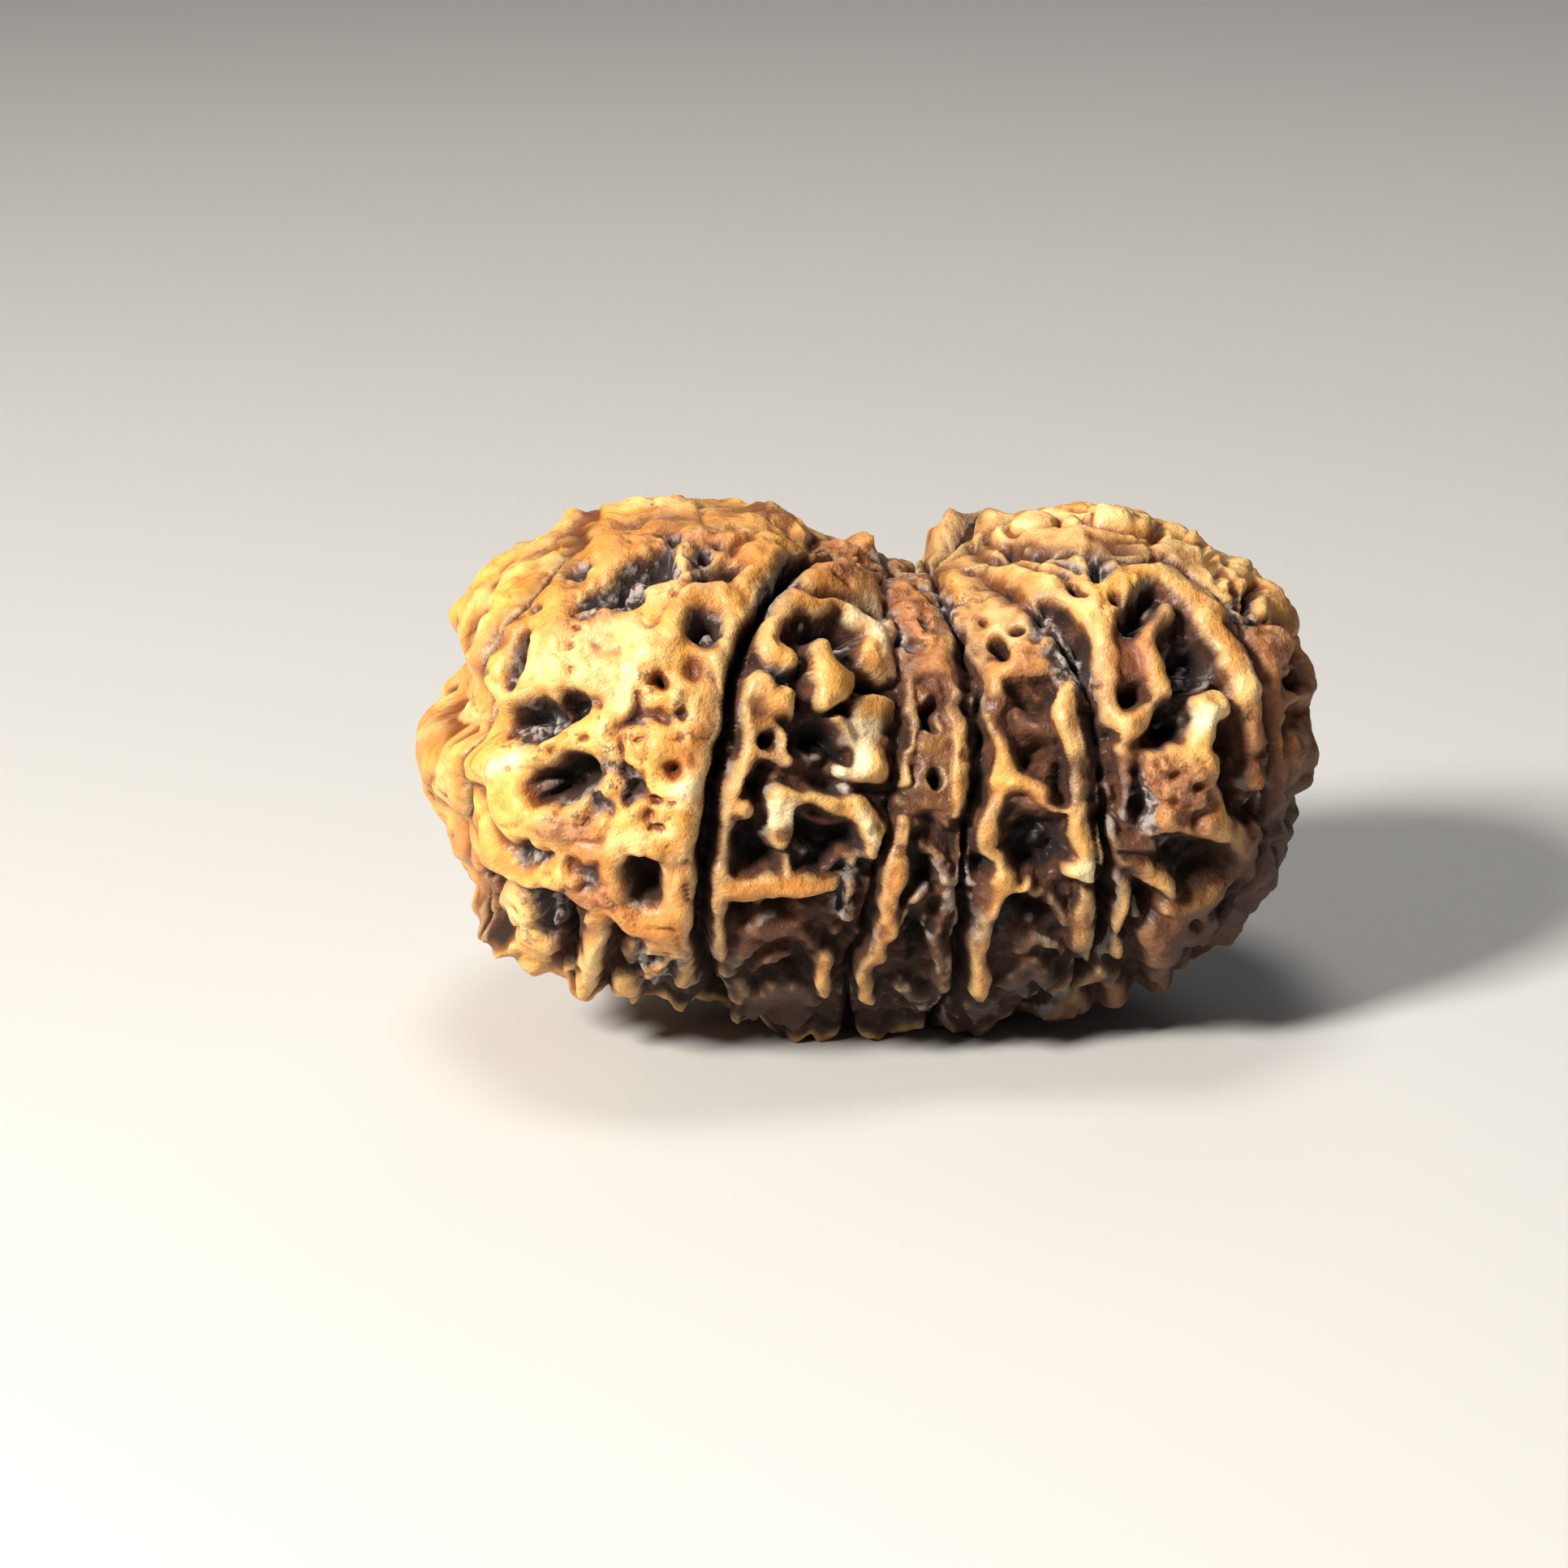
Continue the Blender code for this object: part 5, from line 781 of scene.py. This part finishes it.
def net_depth(points, furrow):
    """The seeded net of the sides, back and underside: how deep in its skin, and in its hollows."""
    draw = np.random.default_rng(SEED)
    count = NET_CELLS
    height = 1 - 2 * (np.arange(count) + 0.5) / count
    turn = np.pi * (1 + 5 ** 0.5) * np.arange(count)
    ring = np.sqrt(1 - height ** 2)
    aims = np.stack([ring * np.cos(turn), ring * np.sin(turn), height], axis=1)
    centres = on_body(unit(aims * MESH_STRETCH + draw.normal(0.0, 0.045, (count, 3))))
    filled = draw.random(count) < FILLED_SHARE
    shallow = draw.random(count) < SHALLOW_SHARE
    wavy = warped(points, 0.35, 1.3, 0)
    nearest = np.full(len(points), np.inf)
    second = np.full(len(points), np.inf)
    owner = np.zeros(len(points), dtype=int)
    for row, centre in enumerate(centres):
        gap = lengths(wavy - centre)
        closer = gap < nearest
        second = np.where(closer, nearest, np.minimum(second, gap))
        owner = np.where(closer, row, owner)
        nearest = np.where(closer, gap, nearest)
    border = (second - nearest) / 2
    bar = NET_BAR * (1 + 0.5 * lattice_noise(points, 2.2, 5))
    depth = np.where(filled[owner], bar + border, bar - border)
    small = 0.3 + 0.12 * lattice_noise(points, 3.0, 9)
    depth = np.where(filled[owner], np.minimum(depth, nearest - small), depth)
    rim = RIM_BAR - np.abs(-furrow - RIM_BAR * 1.1)
    net = np.clip(smooth_max(depth, rim, JOIN), -FAR, FAR)
    return net, np.where(shallow[owner], -FAR, -net)


def facing_eye(points, normals):
    """How squarely the surface faces the eye: 1 straight on, 0 edge on, below 0 turned away."""
    to_eye = EYE - points
    return (normals * to_eye).sum(axis=1) / lengths(to_eye)


def ground_height(points, hollow):
    """The uneven ground between the bars, which sinks into the hollows."""
    sunk = smooth_step(hollow + 0.2 * lattice_noise(points, 0.8, 82), -0.25, 0.5)
    ground = GROUND + GROUND_WAVE * lattice_noise(points, 1.5, 80)
    ground = ground + GROUND_ROUGH * lattice_noise(points, 0.7, 81)
    deep = HOLLOW_FLOOR + HOLLOW_WAVE * lattice_noise(points, 1.0, 83)
    return ground + (deep - ground) * sunk


def crease_and_raise(height, spots, front):
    """Cuts the drawn creases into the height, and raises the drawn bosses on it."""
    for mark in CREASES:
        rows, inside = mark_depth(spots, mark)
        width = mark[1]
        groove = np.exp(-((inside - width) / (1.4 * width)) ** 2)
        height[rows] -= CREASE_DEPTH * groove * front[rows]
    for place, radius, rise in BOSSES:
        gap = lengths(spots - np.array(place))
        height += rise * np.exp(-(gap / radius) ** 2) * front


def knob_reaches(points, knobs):
    """For each knob, how far points lie from it in its own half-widths, and its rise."""
    for (_, radii, rise), spot in zip(knobs, seen([knob[0] for knob in knobs])):
        yield lengths((points - spot) / np.array(radii)), rise


def relief(points, normals):
    """The height of the surface over the body, and the share of it that is form and not relief."""
    furrow = furrow_depth(warped(points, WOBBLE, 0.9, 20))
    spots = drawn(warped(points, WOBBLE, 0.8, 30))
    front = smooth_step(facing_eye(points, normals), DRAWN_FROM, DRAWN_FULLY)
    plates = marks_depth(spots, PLATES)
    drawn_skin = marks_depth(spots, RAISED, plates.copy())
    drawn_skin = np.clip(cut_marks(spots, PITS, drawn_skin), -FAR, FAR)
    low_skin = marks_depth(spots, SUNKEN)
    net, net_hollow = net_depth(points, furrow)
    skin = drawn_skin * front + net * (1 - front)
    worn = 1 - lengths((points[:, :2] - WORN_CENTRE) / WORN_HALF)
    worn = np.where(points[:, 2] < CORE[2], worn, -1.0)
    wear = smooth_step(worn, -0.3, 0.1)
    skin = smooth_max(skin, np.clip(worn * 3, -FAR, FAR), JOIN)
    skin = skin + EDGE_WANDER * lattice_noise(points, 1.1, 70)
    skin = skin + EDGE_FRAY * lattice_noise(points, 0.5, 71)
    skin = smooth_min(skin, -furrow + np.clip(worn * 6, 0.0, 2 * FAR), JOIN / 2)
    ragged = drawn(warped(warped(points, RAGGED, 1.2, 50), 0.14, 0.5, 53))
    hollow = np.maximum(marks_depth(ragged, HOLLOWS), marks_depth(spots, PITS))
    hollow = hollow * front + net_hollow * (1 - front)
    rightward = (spots[:, 0] > 1.0).astype(float)
    height = skin_height(skin, ground_height(points, hollow))
    low = LOW_SKIN + skin_height(low_skin, LOW_FLOOR) - LOW_CUT * smooth_step(hollow, 0.05, 0.5) * rightward
    low = np.where(front > 0.5, low, 2 * HOLLOW_FLOOR)
    height = smooth_max(height, low, 0.15)
    slim = front * (1 - smooth_step(plates, -0.4, 0.4)) * smooth_step(skin, -0.3, 0.1) * (1 - wear)
    height = height - BAR_SINK * slim * smooth_step(lattice_noise(points, 2.0, 90), 0.0, 0.7)
    trench = smooth_step(furrow, 0.0, 0.25) * (1 - wear)
    height = height + trench * np.minimum(FURROW_FLOOR - height, 0.0)
    sag = np.clip(1 + furrow / RIM_REACH, 0.0, 1.0) ** 2 * (1 - wear)
    height = height - RIM_SAG * sag * smooth_step(skin, -0.2, 0.3)
    crease_and_raise(height, spots, front)
    form = (1 - wear) * (SWELL * lattice_noise(points, 2.6, 40)
                         + LUMPS * lattice_noise(points, 1.2, 41))
    for reach, rise in knob_reaches(points, OUTLINE_KNOBS):
        form += rise * smooth_step(-reach, -1.15, -0.4)
    for reach, rise in knob_reaches(points, PEBBLES):
        form += rise * np.sqrt(np.clip(1 - reach ** 2, 0.0, 1.0))
        height -= PEBBLE_CREASE * np.exp(-((reach - PEBBLE_RIM) / PEBBLE_RIM_WIDTH) ** 2)
    return height + form, form


def skin_height(depth, floor):
    """A rounded edge at the skin's rim, then a steep wall down to the ground."""
    share = np.clip(1 - depth / EDGE_REACH, 0.0, 1.0)
    top = -EDGE_DROP * (1 - np.sqrt(np.clip(1 - share ** 2, 0.0, 1.0)))
    wall = np.where(depth < 0, WALL_SLOPE * depth, 0.0)
    return smooth_max(top + wall, floor, 0.3)


def ball_mesh():
    """A triangle mesh of even density around the core, as directions."""
    bpy.ops.mesh.primitive_ico_sphere_add(subdivisions=MESH_LEVELS, radius=1.0)
    ball = bpy.context.object
    mesh = ball.data
    count = len(mesh.vertices)
    places = np.empty(count * 3)
    mesh.vertices.foreach_get("co", places)
    return ball, unit(places.reshape(count, 3) * MESH_STRETCH)


def neighbours_blur(values, edges, rounds):
    """Evens values out over the mesh, a step to the neighbours each round."""
    count = len(values)
    degree = np.bincount(edges.ravel(), minlength=count)
    for _ in range(rounds):
        total = np.bincount(edges[:, 0], weights=values[edges[:, 1]], minlength=count)
        total += np.bincount(edges[:, 1], weights=values[edges[:, 0]], minlength=count)
        values = 0.5 * values + 0.5 * total / degree
    return values


def give_attribute(mesh, name, values):
    attribute = mesh.attributes.new(name, "FLOAT", "POINT")
    attribute.data.foreach_set("value", np.clip(values, 0.0, 1.0).astype(np.float32))


def crust_share(points, facing):
    """Where grey crust clings: drawn patches on the front, and strewn ones all round."""
    drawn_crust = marks_depth(drawn(warped(points, 0.4, 0.9, 64)), CRUST)
    crust = smooth_step(drawn_crust, -0.3, 0.35) * smooth_step(facing, DRAWN_FROM, DRAWN_FULLY)
    strewn = smooth_step(lattice_noise(points, 3.2, 65), 0.45, 0.75)
    return np.maximum(crust, strewn * 0.8)


def wrinkles(points):
    """Thin lines in the skin, along the level lines of two noises: 1 on a line, 0 away from it."""
    bent = warped(points, 0.5, 1.4, 75)
    wide = lattice_noise(bent * WRINKLE_STRETCH, 2.3, 73)
    narrow = lattice_noise(bent, 1.5, 74)
    present = smooth_step(lattice_noise(points, 3.0, 76), -0.25, 0.25)
    first = np.exp(-(wide / 0.06) ** 2)
    second = 0.6 * np.exp(-(narrow / 0.08) ** 2) * present
    return np.maximum(first, second)


def roughened(points, height, facing, crust):
    """The relief with crumbs on the ground, and pores, grain, nodules, wrinkles and dents in the skin."""
    ground_share = 1 - smooth_step(height, -0.8, -0.3)
    skin_share = 1 - ground_share
    crumbs = 0.6 * lattice_noise(points, 0.55, 60) + 0.7 * lattice_noise(points, 0.32, 61)
    pores = smooth_step(lattice_noise(points, 0.5, 68), 0.15, 0.5)
    grain = lattice_noise(points, 0.6, 62) + 0.8 * lattice_noise(points, 0.34, 63)
    nodules = lattice_noise(points, 0.95, 72)
    plates = smooth_step(marks_depth(drawn(points), PLATES), 0.2, 0.8)
    lined = np.where(facing > DRAWN_FULLY, plates, 0.7)
    height = height + CRUMB_RISE * crumbs * (ground_share + 0.6 * crust)
    height -= PORE_DEPTH * pores * crust * skin_share
    height += GRAIN_RISE * grain * skin_share
    height += NODULES * nodules * skin_share
    height -= WRINKLE_DEPTH * wrinkles(points) * skin_share * (1 - 0.6 * crust) * lined
    dents = smooth_step(lattice_noise(points, 0.8, 66), 0.42, 0.7)
    return height - DENT_DEPTH * dents * skin_share


def finish_values(mesh, points, height, facing, crust):
    """What the finish reads on the mesh's points, each as a share from 0 to 1."""
    edges = np.empty(len(mesh.edges) * 2, dtype=np.int32)
    mesh.edges.foreach_get("vertices", edges)
    edges = edges.reshape(-1, 2)
    across = points[:, 0]
    up = points[:, 2]
    marks = drawn(warped(points, 0.8, 1.6, 67))
    front = facing > 0
    pinkish = smooth_step(marks_depth(marks, PINKISH), -0.8, 0.8) * front
    # How much of the painted shade at the bottom is kept: less at the far left
    inward = 0.35 + 0.65 * smooth_step(across, -12.5, -7.5)
    return {
        "height": level(height),
        "ridge": 0.5 + (height - neighbours_blur(height, edges, RIDGE_ROUNDS)) / RIDGE_SPAN,
        "relief": 0.5 + (height - neighbours_blur(height, edges, WIDE_ROUNDS)) / RIDGE_SPAN,
        "crumb": 0.5 + (height - neighbours_blur(height, edges, CRUMB_ROUNDS)) / CRUMB_SPAN,
        "crust": crust,
        "rightward": smooth_step(across + 0.8 * (9 - up), 0.0, 12.0),
        "pinkish": np.maximum(pinkish, smooth_step(across + 0.25 * (8 - up), 11.5, 14.5)),
        # Painted highlights: pale patches where the highlights fall on the front
        "worn": smooth_step(marks_depth(marks, PAINTED_HIGHLIGHT_PATCHES), -0.5, 0.45) * front,
        # Painted highlights: glints on ridge tops
        "painted_glint": smooth_step(marks_depth(marks, PAINTED_GLINTS), -0.25, 0.2) * front,
        # Painted shade: darker towards the bottom
        "foot": (1 - smooth_step(up, 1.2, 4.6)) * inward,
        "bottom_shade": (1 - smooth_step(up, 2.5, 8.0)) * inward,
        # Painted shade: darker towards the lower right
        "shade": smooth_step(across + 1.2 * (7 - up), 5.0, 13.5),
    }


def fine_bead():
    """The bead's fine mesh, and how far it moves to stand where its solid stands."""
    bead, directions = ball_mesh()
    bead.name = "bead_skin"
    mesh = bead.data
    mesh.name = "bead_skin"
    points = on_body(directions)
    normals = body_normals(points)
    facing = facing_eye(points, normals)
    height, form = relief(points, normals)
    crust = crust_share(points, facing)
    height = roughened(points, height - form, facing, crust)
    placed = points + normals * (height + form)[:, None]
    placed[:, 2] = np.maximum(placed[:, 2] - REST_CUT, 0.0)
    low, high = [np.array(corner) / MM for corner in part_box(NODE)]
    shift = (low + high) / 2 - (placed.min(axis=0) + placed.max(axis=0)) / 2
    shift[2] = 0.0
    mesh.vertices.foreach_set("co", ((placed + shift) * MM).ravel())
    for name, values in finish_values(mesh, points, height, facing, crust).items():
        give_attribute(mesh, name, values)
    mesh.update()
    return bead, shift


def thin_out(bead, wanted):
    fewer = bead.modifiers.new("fewer faces", "DECIMATE")
    fewer.ratio = min(1.0, wanted / len(bead.data.polygons))
    bpy.context.view_layer.objects.active = bead
    bpy.ops.object.modifier_apply(modifier=fewer.name)
    bead.data.shade_smooth()


class Nodes:
    """A short way to write a material's nodes."""

    def __init__(self, name):
        self.material = bpy.data.materials.new(name)
        self.material.use_nodes = True
        self.tree = self.material.node_tree
        self.shader = self.tree.nodes["Principled BSDF"]

    def link(self, value, socket):
        if isinstance(value, (int, float, tuple)):
            socket.default_value = value
        else:
            self.tree.links.new(value, socket)

    def attribute(self, name):
        node = self.tree.nodes.new("ShaderNodeAttribute")
        node.attribute_name = name
        return node.outputs["Fac"]

    def noise(self, size_mm, detail, roughness):
        node = self.tree.nodes.new("ShaderNodeTexNoise")
        node.inputs["Scale"].default_value = 1 / (size_mm * MM)
        node.inputs["Detail"].default_value = detail
        node.inputs["Roughness"].default_value = roughness
        place = self.tree.nodes.new("ShaderNodeTexCoord").outputs["Object"]
        self.tree.links.new(place, node.inputs["Vector"])
        return node.outputs["Fac"]

    def span(self, value, low, high, to_low=0.0, to_high=1.0):
        """Turns a value's span into another, smoothly, and holds it at the ends."""
        node = self.tree.nodes.new("ShaderNodeMapRange")
        node.interpolation_type = "SMOOTHSTEP"
        for name, number in (("From Min", low), ("From Max", high), ("To Min", to_low),
                             ("To Max", to_high)):
            node.inputs[name].default_value = number
        self.link(value, node.inputs["Value"])
        return node.outputs["Result"]

    def maths(self, operation, first, second):
        node = self.tree.nodes.new("ShaderNodeMath")
        node.operation = operation
        self.link(first, node.inputs[0])
        self.link(second, node.inputs[1])
        return node.outputs[0]

    def product(self, first, second):
        return self.maths("MULTIPLY", first, second)

    def greater(self, first, second):
        return self.maths("MAXIMUM", first, second)

    def mix(self, share, first, second):
        node = self.tree.nodes.new("ShaderNodeMix")
        node.data_type = "RGBA"
        self.link(share, node.inputs["Factor"])
        self.link(first, node.inputs["A"])
        self.link(second, node.inputs["B"])
        return node.outputs["Result"]

    def toned(self, tone, changes):
        """The tone with each colour mixed into it by its share, one after another."""
        for share, colour in changes:
            tone = self.mix(share, tone, colour)
        return tone

    def bump(self, height, distance_mm, strength, after=None):
        node = self.tree.nodes.new("ShaderNodeBump")
        node.inputs["Strength"].default_value = strength
        node.inputs["Distance"].default_value = distance_mm * MM
        self.link(height, node.inputs["Height"])
        if after is not None:
            self.tree.links.new(after, node.inputs["Normal"])
        return node.outputs["Normal"]


def level(height):
    """A height over the body, in the span that the height attribute is kept in."""
    return (height - HEIGHT_LOW) / (HEIGHT_HIGH - HEIGHT_LOW)


class BeadFinish(Nodes):
    """Golden skin with painted highlights and painted shade, dark pits and furrows, and grey crust caught
    in some of them.
    """

    def __init__(self):
        super().__init__("nut_stone_skin")
        self.height = self.attribute("height")
        self.ridge = self.attribute("ridge")
        self.crumb = self.attribute("crumb")
        self.crust = self.attribute("crust")
        self.pinkish = self.attribute("pinkish")
        # Painted shade towards the bottom and the lower right
        self.bottom_shade = self.attribute("bottom_shade")
        self.shade = self.attribute("shade")
        self.mottle = self.noise(*MOTTLE)
        self.flakes = self.noise(*FLAKES)
        self.fine = self.noise(*FINE_GRAIN)
        self.skin = self.span(self.height, level(-0.75), level(-0.4))
        # The share of painted shade at the bottom and the lower right
        self.bottom_and_right_shade = self.greater(self.bottom_shade, self.shade)
        below_skin = self.span(self.height, level(-0.2), level(-0.45), 0.0, 0.9)
        clumps = self.span(self.noise(*CLUMPS), 0.38, 0.55)
        self.crusted = self.product(self.product(self.crust, below_skin), clumps)
        specks = self.span(self.noise(*SPECKS), 0.4, 0.56)
        pale_grains = self.product(self.span(self.crumb, 0.36, 0.56), specks)
        self.grains = self.mix(pale_grains, CRUST_DARK, CRUST_GREY)
        colour = self.mix(self.skin, self.earth_tone(), self.skin_tone())
        self.link(colour, self.shader.inputs["Base Color"])
        self.link(self.roughness(), self.shader.inputs["Roughness"])
        self.link(self.surface(), self.shader.inputs["Normal"])
        self.shader.inputs["Coat Weight"].default_value = COAT_WEIGHT
        self.shader.inputs["Coat Roughness"].default_value = COAT_ROUGHNESS
        self.shader.inputs["Specular IOR Level"].default_value = SPECULAR_LEVEL

    def skin_tone(self):
        patches = self.noise(*PATCHES)
        left = self.mix(self.span(patches, 0.42, 0.66), GOLD, ORANGE)
        right = self.mix(self.span(patches, 0.42, 0.66, 0.0, 0.5), OCHRE, PINK_BROWN)
        pink = self.mix(self.span(self.flakes, 0.44, 0.58), PINK_BROWN, PINK_PALE)
        # The pale of the painted highlights on crests: cream, turning pale pink on pinkish skin
        pale = self.mix(self.pinkish, CREAM, PINK_PALE)
        # Painted shade: the brown of the skin's walls, darker towards the bottom
        wall_shade_brown = self.mix(self.product(self.bottom_shade, 0.9), RED_BROWN, SHADE_BROWN)
        # Painted highlights: the pale patches of the front, mixed in as cream
        worn = self.product(self.attribute("worn"), self.span(self.mottle, 0.64, 0.4, 0.25, 0.78))
        pink_share = self.product(self.pinkish, self.span(self.ridge, 0.68, 0.55, 0.2, 0.9))
        flecks = self.product(self.crust, self.span(self.noise(*FLECKS), 0.54, 0.64))
        # Painted shade towards the bottom and the lower right, less on ridges
        foot = self.product(self.attribute("foot"), self.span(self.ridge, 0.62, 0.53, 0.1, 0.9))
        shade = self.product(self.shade, self.span(self.ridge, 0.68, 0.54, 0.5, 0.94))
        return self.toned(self.mix(self.attribute("rightward"), left, right), [
            (self.span(self.mottle, 0.46, 0.66, 0.0, 0.7), ORANGE),
            (self.span(self.mottle, 0.42, 0.24, 0.0, 0.4), CREAM),
            (self.span(self.ridge, 0.56, 0.66, 0.0, 0.6), BAR_GOLD),
            # Painted highlights on the pale patches
            (worn, CREAM),
            (pink_share, pink),
            # Painted shade: darker orange, then brown, as the skin falls away into the hollows
            (self.span(self.height, level(0.0), level(-0.18), 0.0, 0.42), SIDE_SHADE_ORANGE),
            (self.span(self.height, level(-0.1), level(-0.5), 0.0, 0.9), wall_shade_brown),
            # Painted highlight: paler on crests
            (self.span(self.ridge, 0.62, 0.85, 0.0, 0.25), pale),
            # Painted shade: russet where the mesh lies below its blurred surroundings, in hollows, creases
            # and pores
            (self.span(self.ridge, 0.5, 0.43, 0.0, 0.75), CREVICE_SHADE_RUSSET),
            (self.span(self.attribute("relief"), 0.5, 0.35, 0.0, 0.5), CREVICE_SHADE_RUSSET),
            (self.span(self.crumb, 0.49, 0.34, 0.0, 0.85), CREVICE_SHADE_RUSSET),
            # Painted highlight: paler on small bumps
            (self.span(self.crumb, 0.54, 0.7, 0.0, 0.25), pale),
            (self.product(flecks, 0.7), EARTH_BROWN),
            # Painted shade at the bottom and the lower right
            (self.greater(foot, shade), SHADE_BROWN),
            # Painted highlights: near white glints on ridge tops
            (self.product(self.attribute("painted_glint"), 0.68), GLINT_CREAM),
            (self.crusted, self.grains),
        ])

    def earth_tone(self):
        walls = self.toned(self.mix(self.span(self.mottle, 0.4, 0.62), PIT_BROWN, EARTH_BROWN), [
            (self.span(self.crumb, 0.52, 0.68, 0.0, 0.8), RED_BROWN),
            (self.product(self.pinkish, 0.7), RED_BROWN),
        ])
        # Partly the hollows' own dark colour, partly painted shade: near black at the bottoms, browner up
        # the walls
        bottoms = self.mix(self.product(self.pinkish, 0.7), PIT_BLACK, EARTH_BROWN)
        above_bottom = self.span(self.height, level(-1.45), level(-0.95))
        strewn = self.product(self.span(self.noise(*STREWN), 0.52, 0.64),
                              self.span(self.crumb, 0.55, 0.66, 0.0, 0.6))
        return self.toned(self.mix(above_bottom, bottoms, walls), [
            (self.span(self.flakes, 0.46, 0.6, 0.0, 0.6), PIT_BROWN),
            # Painted shade in the hollows towards the bottom and the lower right
            (self.product(self.bottom_and_right_shade, 0.8), PIT_BROWN),
            (self.product(self.crust, 0.8), self.grains),
            (strewn, CRUST_GREY),
        ])

    def roughness(self):
        dull = self.greater(self.maths("SUBTRACT", 1.0, self.skin), self.crusted)
        browned = self.greater(self.pinkish, self.bottom_and_right_shade)
        rough = self.greater(self.span(self.fine, 0.3, 0.7, 0.3, 0.5), self.product(dull, DULL_ROUGHNESS))
        return self.greater(rough, self.product(browned, BROWN_ROUGHNESS))

    def surface(self):
        fine = self.bump(self.fine, *FINE_BUMP)
        coarse = self.bump(self.noise(*COARSE_GRAIN), *COARSE_BUMP, fine)
        return self.bump(self.flakes, *FLAKE_BUMP, coarse)


def make_floor():
    bpy.ops.mesh.primitive_plane_add(size=FLOOR_SIDE, location=(0.0, 0.0, 0.0))
    floor = bpy.context.object
    floor.name = "floor"
    nodes = Nodes("pale_floor")
    nodes.link(FLOOR_COLOUR, nodes.shader.inputs["Base Color"])
    nodes.link(FLOOR_ROUGHNESS, nodes.shader.inputs["Roughness"])
    floor.data.materials.append(nodes.material)


def aim(thing, place, target):
    thing.location = place
    thing.rotation_euler = (Vector(target) - Vector(place)).to_track_quat("-Z", "Y").to_euler()


def set_colour_view():
    view = bpy.context.scene.view_settings
    view.view_transform = "Standard"
    view.look = "None"


def make_lights():
    for name, place, side, power, colour in LIGHTS:
        lamp = bpy.data.lights.new(name, "AREA")
        lamp.size = side
        lamp.energy = power
        lamp.color = colour
        light = bpy.data.objects.new(name, lamp)
        bpy.context.collection.objects.link(light)
        aim(light, place, LIGHT_TARGET)
    scene = bpy.context.scene
    if scene.world is None:
        scene.world = bpy.data.worlds.new("studio")
    scene.world.use_nodes = True
    backdrop = scene.world.node_tree.nodes["Background"]
    backdrop.inputs["Color"].default_value = WORLD_COLOUR
    backdrop.inputs["Strength"].default_value = WORLD_STRENGTH


def make_camera(shift):
    lens = bpy.data.cameras.new("photo_view")
    lens.sensor_width = SENSOR_WIDTH
    lens.lens = SENSOR_WIDTH * EYE_DISTANCE / FRAME_WIDTH
    lens.clip_start = CLIP_START
    camera = bpy.data.objects.new("photo_view", lens)
    bpy.context.collection.objects.link(camera)
    cut = np.array([0.0, 0.0, REST_CUT])
    centre = TARGET + FRAME_CENTRE[0] * RIGHT + FRAME_CENTRE[1] * UP
    aim(camera, (EYE + shift - cut) * MM, (centre + shift - cut) * MM)
    bpy.context.scene.camera = camera


bead, shift = fine_bead()
thin_out(bead, FINE_TRIANGLES)
bead.data.materials.clear()
bead.data.materials.append(BeadFinish().material)
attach(bead, "root")
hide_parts(NODE)
make_floor()
make_lights()
set_colour_view()
make_camera(shift)
